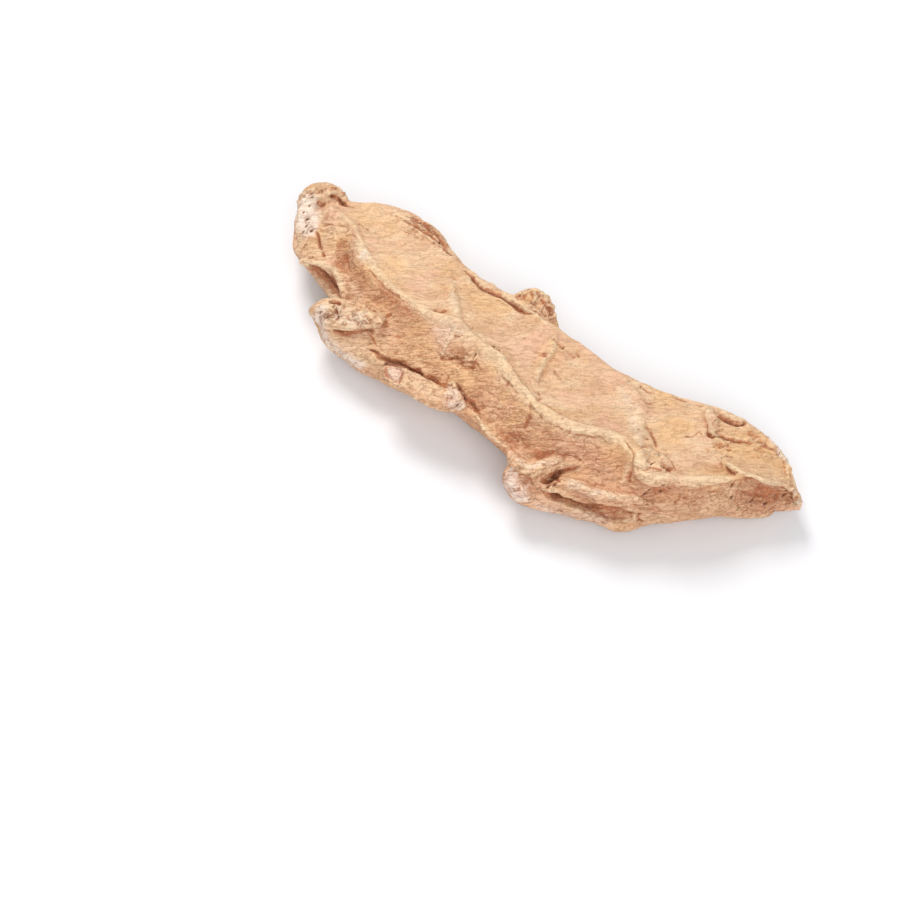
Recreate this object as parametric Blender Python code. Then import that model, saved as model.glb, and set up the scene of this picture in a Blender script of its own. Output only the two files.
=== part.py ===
"""A whole dried ginger rhizome, lying on its flat side.

Blender 4.5: run it with blender --background --python part.py, or from Blender's text editor.
The script's unit is the metre, +Z is up, and the drawing below is in millimetres.
+X runs along the root to its thin broken end. The origin lies on the surface that the root rests
on, under the middle of its box.
"""

import bmesh
import bpy
import numpy as np

MM = 0.001

# The point of the drawing that becomes the origin.
ORIGIN = (-2.15, -4.95, 0.0)

# The root's lengthwise edges, one point (x, y, z) for each of the same sixteen stations.
FAR_MARGIN = [
    (-45.6, 2.9, 7.6), (-43.8, 5.9, 9.0), (-38.6, 6.6, 9.2), (-32.7, 9.8, 8.7), (-24.7, 9.6, 8.3),
    (-17.5, 7.0, 8.0), (-10.7, 6.8, 8.0), (-3.0, 6.0, 8.0), (2.3, 5.6, 8.0), (8.4, 4.7, 7.8),
    (15.7, 5.3, 7.5), (21.6, 7.1, 7.0), (26.8, 8.3, 6.5), (32.8, 8.0, 6.0), (37.4, 5.4, 5.4),
    (40.0, 3.2, 4.6),
]
CREST = [
    (-42.1, 0.0, 10.4), (-39.3, 2.3, 11.4), (-34.0, 1.1, 12.0), (-29.3, -3.2, 12.3), (-20.9, -5.6, 12.8),
    (-13.4, -5.8, 13.3), (-6.0, -7.2, 13.5), (0.5, -9.3, 13.5), (5.1, -10.5, 13.2), (10.6, -10.4, 12.8),
    (17.5, -8.3, 12.2), (23.8, -9.8, 11.6), (29.2, -6.8, 10.8), (33.2, -1.9, 9.4), (38.0, 0.8, 7.2),
    (40.5, 1.9, 5.2),
]
NEAR_MARGIN = [
    (-41.8, -3.8, 6.2), (-38.2, -5.8, 7.0), (-32.8, -7.8, 7.4), (-28.9, -9.7, 7.6), (-20.8, -12.5, 7.8),
    (-12.7, -14.2, 7.8), (-6.0, -14.3, 7.8), (0.4, -15.3, 7.8), (4.7, -15.8, 7.6), (10.5, -15.6, 7.4),
    (16.4, -14.4, 7.6), (22.5, -12.4, 7.4), (29.0, -9.9, 7.0), (33.4, -6.4, 6.2), (38.1, -1.7, 4.8),
    (41.0, 1.4, 3.4),
]

# The keels that it lies on: at each station, how far they are in from the margins and their two heights, and
# how far the near one lies towards the thin end.
KEEL_INSET = [1.2, 2.0, 2.5, 2.9, 3.0, 3.0, 3.0, 3.0, 3.0, 3.1, 3.3, 3.5, 3.4, 2.8, 1.7, 0.6]
NEAR_KEEL_HEIGHT = [3.0, 1.8, 0.5, -0.4, -0.2, 0.4, 0.8, 0.6, 0.2, -0.3, -0.4, -0.2, 0.6, 1.4, 2.0, 2.2]
FAR_KEEL_HEIGHT = [3.5, 2.4, 1.2, 0.0, -0.3, 0.2, 0.6, 0.8, 0.4, 0.0, -0.3, 0.0, 0.6, 1.4, 2.2, 2.6]
KEEL_SHIFT = 0.2
NEAR_KEEL = [
    (x + KEEL_SHIFT, y + inset, z)
    for (x, y, _), inset, z in zip(NEAR_MARGIN, KEEL_INSET, NEAR_KEEL_HEIGHT)
]
FAR_KEEL = [
    (x, y - inset, z)
    for (x, y, _), inset, z in zip(FAR_MARGIN, KEEL_INSET, FAR_KEEL_HEIGHT)
]
EDGES = (FAR_MARGIN, CREST, NEAR_MARGIN, NEAR_KEEL, FAR_KEEL)

# How far the skin between one edge and the next has bulged (+) or sunk (-), in the order of EDGES.
PANEL_BULGE = (-0.6, -0.3, 0.6, -0.8, 0.5)

# The oblique scar at the thick end, a point on its plane and the way it faces.
SCAR_POINT = (-39.5, 0.0, 11.0)
SCAR_NORMAL = (-0.70, 0.05, 0.71)

# Low ridges that lie in the skin and stand a little out of it: points as for LUMPS.
RIDGES = {
    "first_ring": [
        (-17.6, 1.4, 9.5, 0.6), (-15.6, -0.9, 10.1, 1.1), (-13.5, -3.4, 11.2, 1.1),
        (-11.5, -5.8, 12.8, 0.8),
    ],
    "small_bump": [
        (-9.1, -9.8, 9.6, 0.8), (-8.0, -9.2, 10.1, 1.2), (-6.9, -9.0, 10.5, 0.8),
    ],
    "second_ring": [
        (-0.8, 3.3, 8.4, 0.5), (-0.3, 1.0, 8.6, 1.1), (0.3, -1.9, 9.3, 1.2), (1.6, -6.2, 11.3, 0.8),
    ],
    "third_ring": [
        (10.5, 3.1, 7.6, 0.6), (12.5, 2.0, 7.6, 1.1), (15.0, 0.6, 7.7, 1.4), (16.8, -2.3, 8.4, 1.5),
        (18.6, -6.1, 9.9, 1.2),
    ],
    "end_ring": [
        (22.7, 6.0, 6.8, 0.6), (24.3, 5.0, 6.9, 1.1), (25.5, 3.4, 7.2, 0.9),
    ],
    "far_fold": [
        (-32.1, 7.6, 8.6, 0.5), (-29.2, 7.9, 8.5, 0.8), (-25.0, 7.4, 8.3, 0.8), (-21.7, 6.5, 8.2, 0.7),
        (-19.4, 5.8, 8.0, 0.4),
    ],
    "overlap_fold": [
        (-12.8, 5.0, 7.9, 0.5), (-9.6, 5.3, 7.7, 0.9), (-6.0, 5.1, 7.9, 0.9), (-3.1, 4.6, 7.7, 0.8),
        (-0.5, 4.3, 7.7, 0.4),
    ],
    "back_rib": [
        (-16.0, 5.4, 4.4, 0.5), (-10.7, 5.1, 4.8, 1.0), (-3.0, 4.4, 4.4, 1.1), (2.3, 3.6, 4.0, 1.0),
        (8.4, 2.7, 4.2, 0.5),
    ],
    "back_rib_low": [
        (9.0, 2.6, 3.0, 0.5), (15.7, 3.3, 3.4, 1.1), (21.6, 5.0, 3.2, 1.2), (26.8, 6.0, 3.2, 1.0),
        (32.0, 6.0, 3.4, 0.5),
    ],
    "belly_strand": [
        (-28.0, 1.0, 1.3, 0.5), (-18.0, -2.0, 1.5, 1.1), (-8.0, -3.9, 1.8, 1.2), (2.0, -5.0, 1.7, 1.1),
        (10.0, -6.0, 1.3, 0.5),
    ],
}

# The knobs, folds and rims that stand out of the body: points (x, y, z, radius) along each one.
LUMPS = {
    "bud_face": [
        (6.0, -16.8, 7.0, 1.2), (6.3, -18.4, 6.2, 1.6), (8.0, -19.1, 5.6, 1.5), (9.9, -18.9, 5.2, 0.9),
    ],
    "strap_upper_edge": [
        (-17.0, -14.4, 8.6, 0.7), (-15.0, -14.1, 8.7, 0.8), (-12.4, -13.7, 8.7, 0.8),
        (-10.0, -13.5, 8.7, 0.8), (-8.4, -13.2, 8.6, 0.8),
    ],
    "strap_lower_edge": [
        (-16.3, -15.5, 7.9, 0.7), (-14.7, -15.3, 7.9, 0.8), (-11.8, -15.3, 7.9, 0.8),
        (-9.4, -15.3, 7.9, 0.8), (-7.3, -14.9, 7.9, 0.8),
    ],
    "scar_strip": [
        (-42.9, 2.9, 9.4, 0.9), (-42.5, 0.8, 8.9, 1.5), (-41.8, -1.0, 8.0, 1.5), (-40.8, -2.5, 7.2, 0.9),
    ],
    "finger": [
        (-31.3, -11.2, 4.8, 1.4), (-28.5, -11.7, 4.8, 2.7), (-24.2, -11.2, 4.7, 3.7),
        (-19.1, -11.1, 4.8, 3.6), (-12.5, -11.3, 5.0, 2.8), (-6.7, -11.8, 5.6, 1.2),
    ],
    "knuckle_upper": [
        (-32.1, -12.1, 7.6, 1.0), (-30.7, -11.2, 8.4, 1.5), (-28.4, -10.1, 9.0, 1.6),
        (-25.5, -9.5, 9.4, 1.6), (-23.1, -8.9, 9.4, 1.6), (-21.5, -8.4, 9.4, 0.8),
    ],
    "knuckle_lower": [
        (-31.4, -12.3, 6.6, 0.8), (-29.1, -11.9, 7.6, 1.4), (-26.0, -11.3, 8.4, 1.4),
        (-23.2, -10.2, 8.6, 1.3), (-22.3, -9.6, 8.6, 0.6),
    ],
    "scale_stub": [
        (-17.4, -14.8, 7.8, 1.3), (-15.7, -14.9, 7.8, 1.5), (-11.8, -14.5, 7.9, 1.4),
        (-8.4, -14.0, 7.9, 1.6), (-6.5, -13.5, 7.9, 1.7), (-4.6, -13.5, 7.7, 1.1),
        (-3.0, -13.5, 7.5, 0.6),
    ],
    "margin_cord": [
        (-5.5, -13.0, 7.8, 0.6), (-2.1, -14.1, 7.9, 0.8), (1.2, -15.0, 7.9, 0.8),
        (3.8, -15.7, 7.7, 0.7),
    ],
    "bud_mass": [
        (7.1, -17.2, 4.6, 2.3), (10.9, -15.9, 4.6, 3.0), (15.9, -14.6, 4.4, 3.2),
        (20.6, -12.9, 4.2, 2.6), (25.2, -11.1, 4.0, 1.4),
    ],
    "bud_lower_rim": [
        (5.6, -17.8, 5.8, 1.0), (6.6, -18.8, 5.4, 1.3), (8.2, -19.4, 5.0, 1.4), (10.1, -18.8, 4.4, 1.3),
        (12.6, -18.0, 4.0, 1.1), (15.9, -16.7, 3.6, 1.0), (19.3, -15.5, 3.2, 1.0),
        (21.5, -14.7, 3.0, 1.2), (23.9, -12.2, 3.0, 1.0), (26.5, -10.6, 3.2, 0.5),
    ],
    "bud_upper_fold": [
        (4.7, -16.3, 8.1, 0.9), (6.1, -16.8, 7.7, 1.4), (7.9, -16.8, 7.4, 1.6), (9.5, -15.2, 7.8, 1.5),
        (10.9, -13.8, 8.3, 1.1), (13.2, -12.8, 8.8, 0.5),
    ],
    "bud_tongue": [
        (9.1, -17.6, 6.8, 0.8), (11.6, -17.4, 7.0, 1.0), (12.9, -15.9, 7.4, 1.0),
        (15.0, -15.2, 7.6, 1.1), (17.3, -15.1, 7.8, 1.2), (19.7, -14.2, 7.7, 1.2),
        (22.1, -12.9, 7.6, 1.0), (25.0, -11.9, 7.4, 0.4),
    ],
    "thin_margin": [
        (24.8, -12.2, 4.2, 0.9), (26.8, -10.3, 4.2, 1.2), (29.5, -7.8, 4.0, 1.2), (32.3, -5.2, 3.6, 1.1),
        (35.1, -3.3, 3.2, 1.1), (37.4, -1.7, 2.8, 0.9),
    ],
    "end_flap": [
        (-38.9, -5.7, 7.0, 0.5), (-36.4, -5.2, 7.9, 0.7), (-34.4, -4.9, 8.5, 0.7),
        (-32.2, -5.7, 8.7, 0.8), (-30.4, -7.1, 8.5, 0.7), (-29.2, -8.5, 8.2, 0.4),
    ],
    "crest_cord": [
        (-35.4, 2.1, 10.8, 0.4), (-31.3, -1.0, 11.0, 0.8), (-24.5, -4.4, 11.4, 0.8),
        (-17.7, -5.7, 11.9, 0.9), (-12.3, -5.1, 12.3, 1.0), (-8.1, -6.3, 12.5, 0.9),
        (-3.1, -7.0, 12.6, 1.0), (0.4, -8.8, 12.5, 1.1), (5.0, -10.0, 12.2, 1.0),
        (10.5, -9.8, 11.8, 1.1), (15.0, -8.1, 11.4, 1.2), (18.1, -7.8, 11.2, 1.2),
        (20.4, -8.7, 10.9, 1.1), (21.5, -10.2, 10.5, 0.9),
    ],
    "lower_ridge": [
        (21.6, -10.4, 10.5, 0.9), (24.2, -9.6, 10.5, 1.1), (28.3, -7.2, 10.0, 1.0),
        (31.4, -3.9, 9.2, 0.8), (32.7, -2.1, 8.9, 0.5),
    ],
    "hook": [
        (29.5, -1.1, 9.5, 0.4), (31.1, -2.0, 9.5, 0.7), (32.5, -1.7, 9.1, 0.7), (34.1, -1.0, 8.7, 0.7),
        (36.2, -0.2, 7.9, 0.7), (38.5, 1.1, 6.6, 0.8), (39.8, 1.5, 5.6, 0.8), (41.0, 1.6, 4.4, 0.6),
    ],
    "back_knob": [
        (-9.2, 6.3, 7.2, 0.8), (-8.2, 7.1, 7.4, 1.2), (-6.9, 7.9, 7.2, 1.5), (-5.5, 7.8, 6.6, 1.4),
        (-4.1, 7.0, 6.0, 1.1), (-2.4, 6.3, 5.4, 0.6),
    ],
    "back_knob_base": [
        (-7.1, 6.1, 6.4, 1.4), (-5.5, 6.5, 6.2, 1.8), (-3.9, 6.4, 5.6, 1.2),
    ],
    "back_fold": [
        (-34.9, 6.4, 6.0, 1.0), (-31.4, 8.1, 5.8, 2.5), (-27.6, 8.2, 5.6, 2.7), (-23.6, 7.1, 5.6, 2.4),
        (-19.2, 5.3, 5.6, 1.2),
    ],
    "end_knob": [
        (-44.0, 1.7, 7.9, 1.1), (-43.5, 3.8, 8.7, 1.8), (-41.5, 5.2, 9.1, 1.8), (-39.3, 5.6, 9.1, 0.9),
    ],
    "tip_lobe": [
        (31.3, -4.4, 1.9, 0.8), (34.2, -2.2, 1.8, 1.6), (37.0, -0.3, 2.0, 1.5), (38.3, 0.7, 2.2, 0.6),
    ],
}

# The body's mesh: cross-sections, points in a panel, passes that round its edges, and its domed ends.
STATIONS_DRAWN = 96
PANEL_POINTS = 14
EDGE_SOFTENING = 4
CAP_RINGS = (0.35, 0.65, 0.88)
CAP_DEPTH = 0.8

# A lump's mesh: points round it and along each stretch of it. Points nearer than this are one point.
LUMP_SMOOTHNESS = 5
LUMP_STEPS = 8
SAME_POINT = 0.001

# The fused skin: how fine it is, how far its seams are softened, its wrinkles, and its share of triangles.
VOXEL = 0.5
SEAM_SMOOTHING = 4
WRINKLE_WIDTH = 4.5
WRINKLE_HEIGHT = 0.7
TRIANGLE_SHARE = 0.15

# The block that trims the root flat, its top at the height of the surface that the root rests on.
FLOOR_BLOCK = (120.0, 60.0, 10.0)

SKIN_COLOUR = (0.70, 0.42, 0.23, 1.0)
SKIN_ROUGHNESS = 0.85


def smooth_through(points, count):
    """Count points on the Catmull-Rom curve through the given ones, whose ends it reaches."""
    known = np.asarray(points, float)
    padded = np.concatenate([2 * known[:1] - known[1:2], known, 2 * known[-1:] - known[-2:-1]])
    place = np.linspace(0.0, len(known) - 1.0, count)
    span = np.minimum(place.astype(int), len(known) - 2)
    t = (place - span)[:, None]
    before, start, end, after = (padded[span + step] for step in range(4))
    return 0.5 * (
        2 * start
        + (end - before) * t
        + (2 * before - 5 * start + 4 * end - after) * t**2
        + (3 * start - before - 3 * end + after) * t**3
    )


def body_rings():
    """The body's cross-sections from scar to thin end: five edges, with a bowed panel between each two."""
    edges = np.stack([smooth_through(edge, STATIONS_DRAWN) for edge in EDGES], axis=1)
    share = np.linspace(0.0, 1.0, PANEL_POINTS, endpoint=False)[None, :, None]
    along = np.array([1.0, 0.0, 0.0])
    panels = []
    for number, bulge in enumerate(PANEL_BULGE):
        first = edges[:, number][:, None]
        chord = np.roll(edges, -1, axis=1)[:, number][:, None] - first
        outward = np.cross(chord, along)
        outward /= np.linalg.norm(outward, axis=2, keepdims=True)
        panels.append(first + chord * share + outward * bulge * 4 * share * (1 - share))
    rings = np.concatenate(panels, axis=1)
    for _ in range(EDGE_SOFTENING):
        rings = (np.roll(rings, 1, axis=1) + 2 * rings + np.roll(rings, -1, axis=1)) / 4
    return rings


def with_round_ends(rings):
    """The rings with a low dome of smaller rings added at each end."""
    capped = list(rings)
    for end, way in ((0, -1.0), (-1, 1.0)):
        middle = rings[end].mean(axis=0)
        for share in CAP_RINGS:
            ring = middle + (rings[end] - middle) * np.sqrt(1 - share**2)
            ring = ring + np.array([way * CAP_DEPTH * share, 0.0, 0.0])
            capped.insert(0 if end == 0 else len(capped), ring)
    return np.array(capped)


def cut_to_scar(points):
    """Points in front of the scar's plane, moved straight back onto it."""
    normal = np.array(SCAR_NORMAL) / np.linalg.norm(SCAR_NORMAL)
    ahead = (points - np.array(SCAR_POINT)) @ normal
    return points - np.maximum(ahead, 0.0)[..., None] * normal


def add_body(mesh):
    """The body: its rings joined by quads, closed at both ends."""
    rings = cut_to_scar(with_round_ends(body_rings()))
    rows = [[mesh.verts.new(point) for point in ring] for ring in rings]
    for row, following in zip(rows, rows[1:]):
        for number in range(len(row)):
            after = (number + 1) % len(row)
            mesh.faces.new((row[number], row[after], following[after], following[number]))
    mesh.faces.new(rows[0])
    mesh.faces.new(rows[-1][::-1])


def lump_curve(name, points):
    """One lump as a round curve of changing thickness, through its points."""
    curve = bpy.data.curves.new(name, "CURVE")
    curve.dimensions = "3D"
    curve.bevel_depth = 1.0
    curve.bevel_resolution = LUMP_SMOOTHNESS
    curve.resolution_u = LUMP_STEPS
    curve.use_fill_caps = True
    spline = curve.splines.new("BEZIER")
    spline.bezier_points.add(len(points) - 1)
    for point, (x, y, z, radius) in zip(spline.bezier_points, points):
        point.co = (x, y, z)
        point.radius = radius
        point.handle_left_type = point.handle_right_type = "AUTO"
    return bpy.data.objects.new(name, curve)


def add_lump(mesh, name, points):
    """The mesh of one lump's curve, added to the others."""
    helper = lump_curve(name, points)
    bpy.context.scene.collection.objects.link(helper)
    bpy.context.view_layer.update()
    made = helper.evaluated_get(bpy.context.evaluated_depsgraph_get()).to_mesh()
    mesh.from_mesh(made)
    bpy.data.objects.remove(helper)


def whole_form():
    """Body and lumps in one mesh, still overlapping each other, in metres about the origin."""
    mesh = bmesh.new()
    add_body(mesh)
    for name, points in {**RIDGES, **LUMPS}.items():
        add_lump(mesh, name, points)
    bmesh.ops.remove_doubles(mesh, verts=mesh.verts, dist=SAME_POINT)
    bmesh.ops.recalc_face_normals(mesh, faces=mesh.faces)
    bmesh.ops.translate(mesh, verts=mesh.verts, vec=[-value for value in ORIGIN])
    bmesh.ops.scale(mesh, verts=mesh.verts, vec=(MM, MM, MM))
    data = bpy.data.meshes.new("rhizome")
    mesh.to_mesh(data)
    mesh.free()
    return data


def skin_material():
    """Dry tan skin, matt."""
    material = bpy.data.materials.new("dried_skin")
    material.use_nodes = True
    shader = material.node_tree.nodes["Principled BSDF"]
    shader.inputs["Base Color"].default_value = SKIN_COLOUR
    shader.inputs["Roughness"].default_value = SKIN_ROUGHNESS
    shader.inputs["Metallic"].default_value = 0.0
    return material


def wrinkle_pattern():
    """The irregular swells and hollows that drying has left in the skin."""
    pattern = bpy.data.textures.new("dried_wrinkles", "CLOUDS")
    pattern.noise_basis = "IMPROVED_PERLIN"
    pattern.noise_scale = WRINKLE_WIDTH * MM
    pattern.noise_depth = 1
    return pattern


def floor_cutter():
    """A block under the surface that the root rests on, which flattens what would reach below it."""
    bpy.ops.mesh.primitive_cube_add(size=1.0, location=(0.0, 0.0, -FLOOR_BLOCK[2] / 2 * MM))
    cutter = bpy.context.object
    cutter.name = "floor_cutter"
    cutter.scale = [size * MM for size in FLOOR_BLOCK]
    cutter.hide_render = True
    cutter.display_type = "WIRE"
    return cutter


def build():
    """The root, made of its body and lumps fused into one skin."""
    for old in list(bpy.data.objects):
        bpy.data.objects.remove(old)
    root = bpy.data.objects.new("rhizome", whole_form())
    bpy.context.scene.collection.objects.link(root)
    root.data.materials.append(skin_material())

    fused = root.modifiers.new("fuse_lumps", "REMESH")
    fused.mode = "VOXEL"
    fused.voxel_size = VOXEL * MM
    fused.use_smooth_shade = True
    softened = root.modifiers.new("soften_seams", "SMOOTH")
    softened.factor = 0.5
    softened.iterations = SEAM_SMOOTHING
    wrinkled = root.modifiers.new("dried_wrinkles", "DISPLACE")
    wrinkled.texture = wrinkle_pattern()
    wrinkled.texture_coords = "LOCAL"
    wrinkled.strength = WRINKLE_HEIGHT * MM
    wrinkled.mid_level = 0.5
    thinned = root.modifiers.new("fewer_triangles", "DECIMATE")
    thinned.ratio = TRIANGLE_SHARE
    flattened = root.modifiers.new("flat_where_it_rests", "BOOLEAN")
    flattened.operation = "DIFFERENCE"
    flattened.object = floor_cutter()


build()
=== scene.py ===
"""A whole dried ginger root on a pale table, seen from above its near side.

The root's body is a tube carried along its five lengthwise edges. Its knobs, folds and rims are round
strands carried along paths. All are fused into one skin. Creases, node rings, pits and drying wrinkles
are then raised or sunk in that skin as whole arrays of points. The drawing is in millimetres, the scene
in metres.
"""

import bpy
import numpy as np
from bpy.props import FloatProperty, FloatVectorProperty, IntProperty, PointerProperty
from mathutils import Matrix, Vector
from mathutils.bvhtree import BVHTree


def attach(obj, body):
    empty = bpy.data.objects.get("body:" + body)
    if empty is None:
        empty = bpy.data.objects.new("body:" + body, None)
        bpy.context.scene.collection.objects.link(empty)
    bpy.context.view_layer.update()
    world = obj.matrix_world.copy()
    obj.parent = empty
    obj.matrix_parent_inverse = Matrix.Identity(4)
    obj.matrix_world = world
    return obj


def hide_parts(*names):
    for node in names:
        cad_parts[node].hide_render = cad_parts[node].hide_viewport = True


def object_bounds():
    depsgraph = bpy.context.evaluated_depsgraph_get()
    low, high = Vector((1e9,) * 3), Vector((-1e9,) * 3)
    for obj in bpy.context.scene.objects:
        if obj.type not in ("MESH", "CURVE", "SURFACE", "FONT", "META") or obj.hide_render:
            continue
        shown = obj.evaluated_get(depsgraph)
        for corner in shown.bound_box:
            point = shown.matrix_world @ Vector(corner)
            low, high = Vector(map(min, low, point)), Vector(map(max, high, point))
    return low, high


bl_info = {
    "name": "Dried Ginger Root",
    "version": (1, 0, 0),
    "blender": (4, 5, 0),
    "location": "View3D > Sidebar > Ginger",
    "description": "Models the wrinkled skin of a dried ginger root on a pale table",
    "category": "Add Mesh",
}

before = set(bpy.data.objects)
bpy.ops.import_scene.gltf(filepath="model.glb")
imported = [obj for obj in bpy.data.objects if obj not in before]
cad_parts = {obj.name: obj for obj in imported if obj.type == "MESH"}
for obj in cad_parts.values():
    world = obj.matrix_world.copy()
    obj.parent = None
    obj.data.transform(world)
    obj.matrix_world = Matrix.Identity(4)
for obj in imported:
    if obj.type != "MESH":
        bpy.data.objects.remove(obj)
CAD_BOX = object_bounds()

MM = 0.001

# The most triangles that the finished skin may have.
TRIANGLES = 190000

# The point of the drawing that is the part's origin.
ORIGIN = np.array([-2.15, -4.95, 0.0])

# The root's lengthwise edges, one point (x, y, z) for each of the same sixteen stations.
FAR_MARGIN = [
    (-45.6, 2.9, 7.6), (-43.8, 5.9, 9.0), (-38.6, 6.6, 9.2), (-32.7, 9.8, 8.7), (-24.7, 9.6, 8.3),
    (-17.5, 7.0, 8.0), (-10.7, 6.8, 8.0), (-3.0, 6.0, 8.0), (2.3, 5.6, 8.0), (8.4, 4.7, 7.8),
    (15.7, 5.3, 7.5), (21.6, 7.1, 7.0), (26.8, 8.3, 6.5), (32.8, 8.0, 6.0), (37.4, 5.4, 5.4),
    (40.0, 3.2, 4.6),
]
CREST = [
    (-42.1, 0.0, 10.4), (-39.3, 2.3, 11.4), (-34.0, 1.1, 12.0), (-29.3, -3.2, 12.3), (-20.9, -5.6, 12.8),
    (-13.4, -5.8, 13.3), (-6.0, -7.2, 13.5), (0.5, -9.3, 13.5), (5.1, -10.5, 13.2), (10.6, -10.4, 12.8),
    (17.5, -8.3, 12.2), (23.8, -9.8, 11.6), (29.2, -6.8, 10.8), (33.2, -1.9, 9.4), (38.0, 0.8, 7.2),
    (40.5, 1.9, 5.2),
]
NEAR_MARGIN = [
    (-41.8, -3.8, 6.2), (-38.2, -5.8, 7.0), (-32.8, -7.8, 7.4), (-28.9, -9.7, 7.6), (-20.8, -12.5, 7.8),
    (-12.7, -14.2, 7.8), (-6.0, -14.3, 7.8), (0.4, -15.3, 7.8), (4.7, -15.8, 7.6), (10.5, -15.6, 7.4),
    (16.4, -14.4, 7.6), (22.5, -12.4, 7.4), (29.0, -9.9, 7.0), (33.4, -6.4, 6.2), (38.1, -1.7, 4.8),
    (41.0, 1.4, 3.4),
]

# The keels that it lies on: at each station, how far they are in from the margins and their two heights,
# and how far the near one lies towards the thin end.
KEEL_INSET = [1.2, 2.0, 2.5, 2.9, 3.0, 3.0, 3.0, 3.0, 3.0, 3.1, 3.3, 3.5, 3.4, 2.8, 1.7, 0.6]
NEAR_KEEL_HEIGHT = [3.0, 1.8, 0.5, -0.4, -0.2, 0.4, 0.8, 0.6, 0.2, -0.3, -0.4, -0.2, 0.6, 1.4, 2.0, 2.2]
FAR_KEEL_HEIGHT = [3.5, 2.4, 1.2, 0.0, -0.3, 0.2, 0.6, 0.8, 0.4, 0.0, -0.3, 0.0, 0.6, 1.4, 2.2, 2.6]
KEEL_SHIFT = 0.2
NEAR_KEEL = [
    (x + KEEL_SHIFT, y + inset, z)
    for (x, y, _), inset, z in zip(NEAR_MARGIN, KEEL_INSET, NEAR_KEEL_HEIGHT)
]
FAR_KEEL = [
    (x, y - inset, z)
    for (x, y, _), inset, z in zip(FAR_MARGIN, KEEL_INSET, FAR_KEEL_HEIGHT)
]
EDGES = (FAR_MARGIN, CREST, NEAR_MARGIN, NEAR_KEEL, FAR_KEEL)

# How far the skin between one edge and the next has bulged (+) or sunk (-), in the order of EDGES.
PANEL_BULGE = (-0.6, -0.3, 0.6, -0.8, 0.5)

# The oblique scar at the thick end: a point on its plane and the way it faces.
SCAR_POINT = np.array([-39.5, 0.0, 11.0])
SCAR_NORMAL = np.array([-0.70, 0.05, 0.71])
SCAR_NORMAL /= np.linalg.norm(SCAR_NORMAL)

# Low ridges that lie in the skin and stand a little out of it: points as for LUMPS.
RIDGES = {
    "first_ring": [
        (-17.6, 1.4, 9.5, 0.6), (-15.6, -0.9, 10.1, 1.1), (-13.5, -3.4, 11.2, 1.1),
        (-11.5, -5.8, 12.8, 0.8),
    ],
    "small_bump": [
        (-9.1, -9.8, 9.6, 0.8), (-8.0, -9.2, 10.1, 1.2), (-6.9, -9.0, 10.5, 0.8),
    ],
    "second_ring": [
        (-0.8, 3.3, 8.4, 0.5), (-0.3, 1.0, 8.6, 1.1), (0.3, -1.9, 9.3, 1.2), (1.6, -6.2, 11.3, 0.8),
    ],
    "third_ring": [
        (10.5, 3.1, 7.6, 0.6), (12.5, 2.0, 7.6, 1.1), (15.0, 0.6, 7.7, 1.4), (16.8, -2.3, 8.4, 1.5),
        (18.6, -6.1, 9.9, 1.2),
    ],
    "end_ring": [
        (22.7, 6.0, 6.8, 0.6), (24.3, 5.0, 6.9, 1.1), (25.5, 3.4, 7.2, 0.9),
    ],
    "far_fold": [
        (-32.1, 7.6, 8.6, 0.5), (-29.2, 7.9, 8.5, 0.8), (-25.0, 7.4, 8.3, 0.8), (-21.7, 6.5, 8.2, 0.7),
        (-19.4, 5.8, 8.0, 0.4),
    ],
    "overlap_fold": [
        (-12.8, 5.0, 7.9, 0.5), (-9.6, 5.3, 7.7, 0.9), (-6.0, 5.1, 7.9, 0.9), (-3.1, 4.6, 7.7, 0.8),
        (-0.5, 4.3, 7.7, 0.4),
    ],
    "back_rib": [
        (-16.0, 5.4, 4.4, 0.5), (-10.7, 5.1, 4.8, 1.0), (-3.0, 4.4, 4.4, 1.1), (2.3, 3.6, 4.0, 1.0),
        (8.4, 2.7, 4.2, 0.5),
    ],
    "back_rib_low": [
        (9.0, 2.6, 3.0, 0.5), (15.7, 3.3, 3.4, 1.1), (21.6, 5.0, 3.2, 1.2), (26.8, 6.0, 3.2, 1.0),
        (32.0, 6.0, 3.4, 0.5),
    ],
    "belly_strand": [
        (-28.0, 1.0, 1.3, 0.5), (-18.0, -2.0, 1.5, 1.1), (-8.0, -3.9, 1.8, 1.2), (2.0, -5.0, 1.7, 1.1),
        (10.0, -6.0, 1.3, 0.5),
    ],
}

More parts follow.
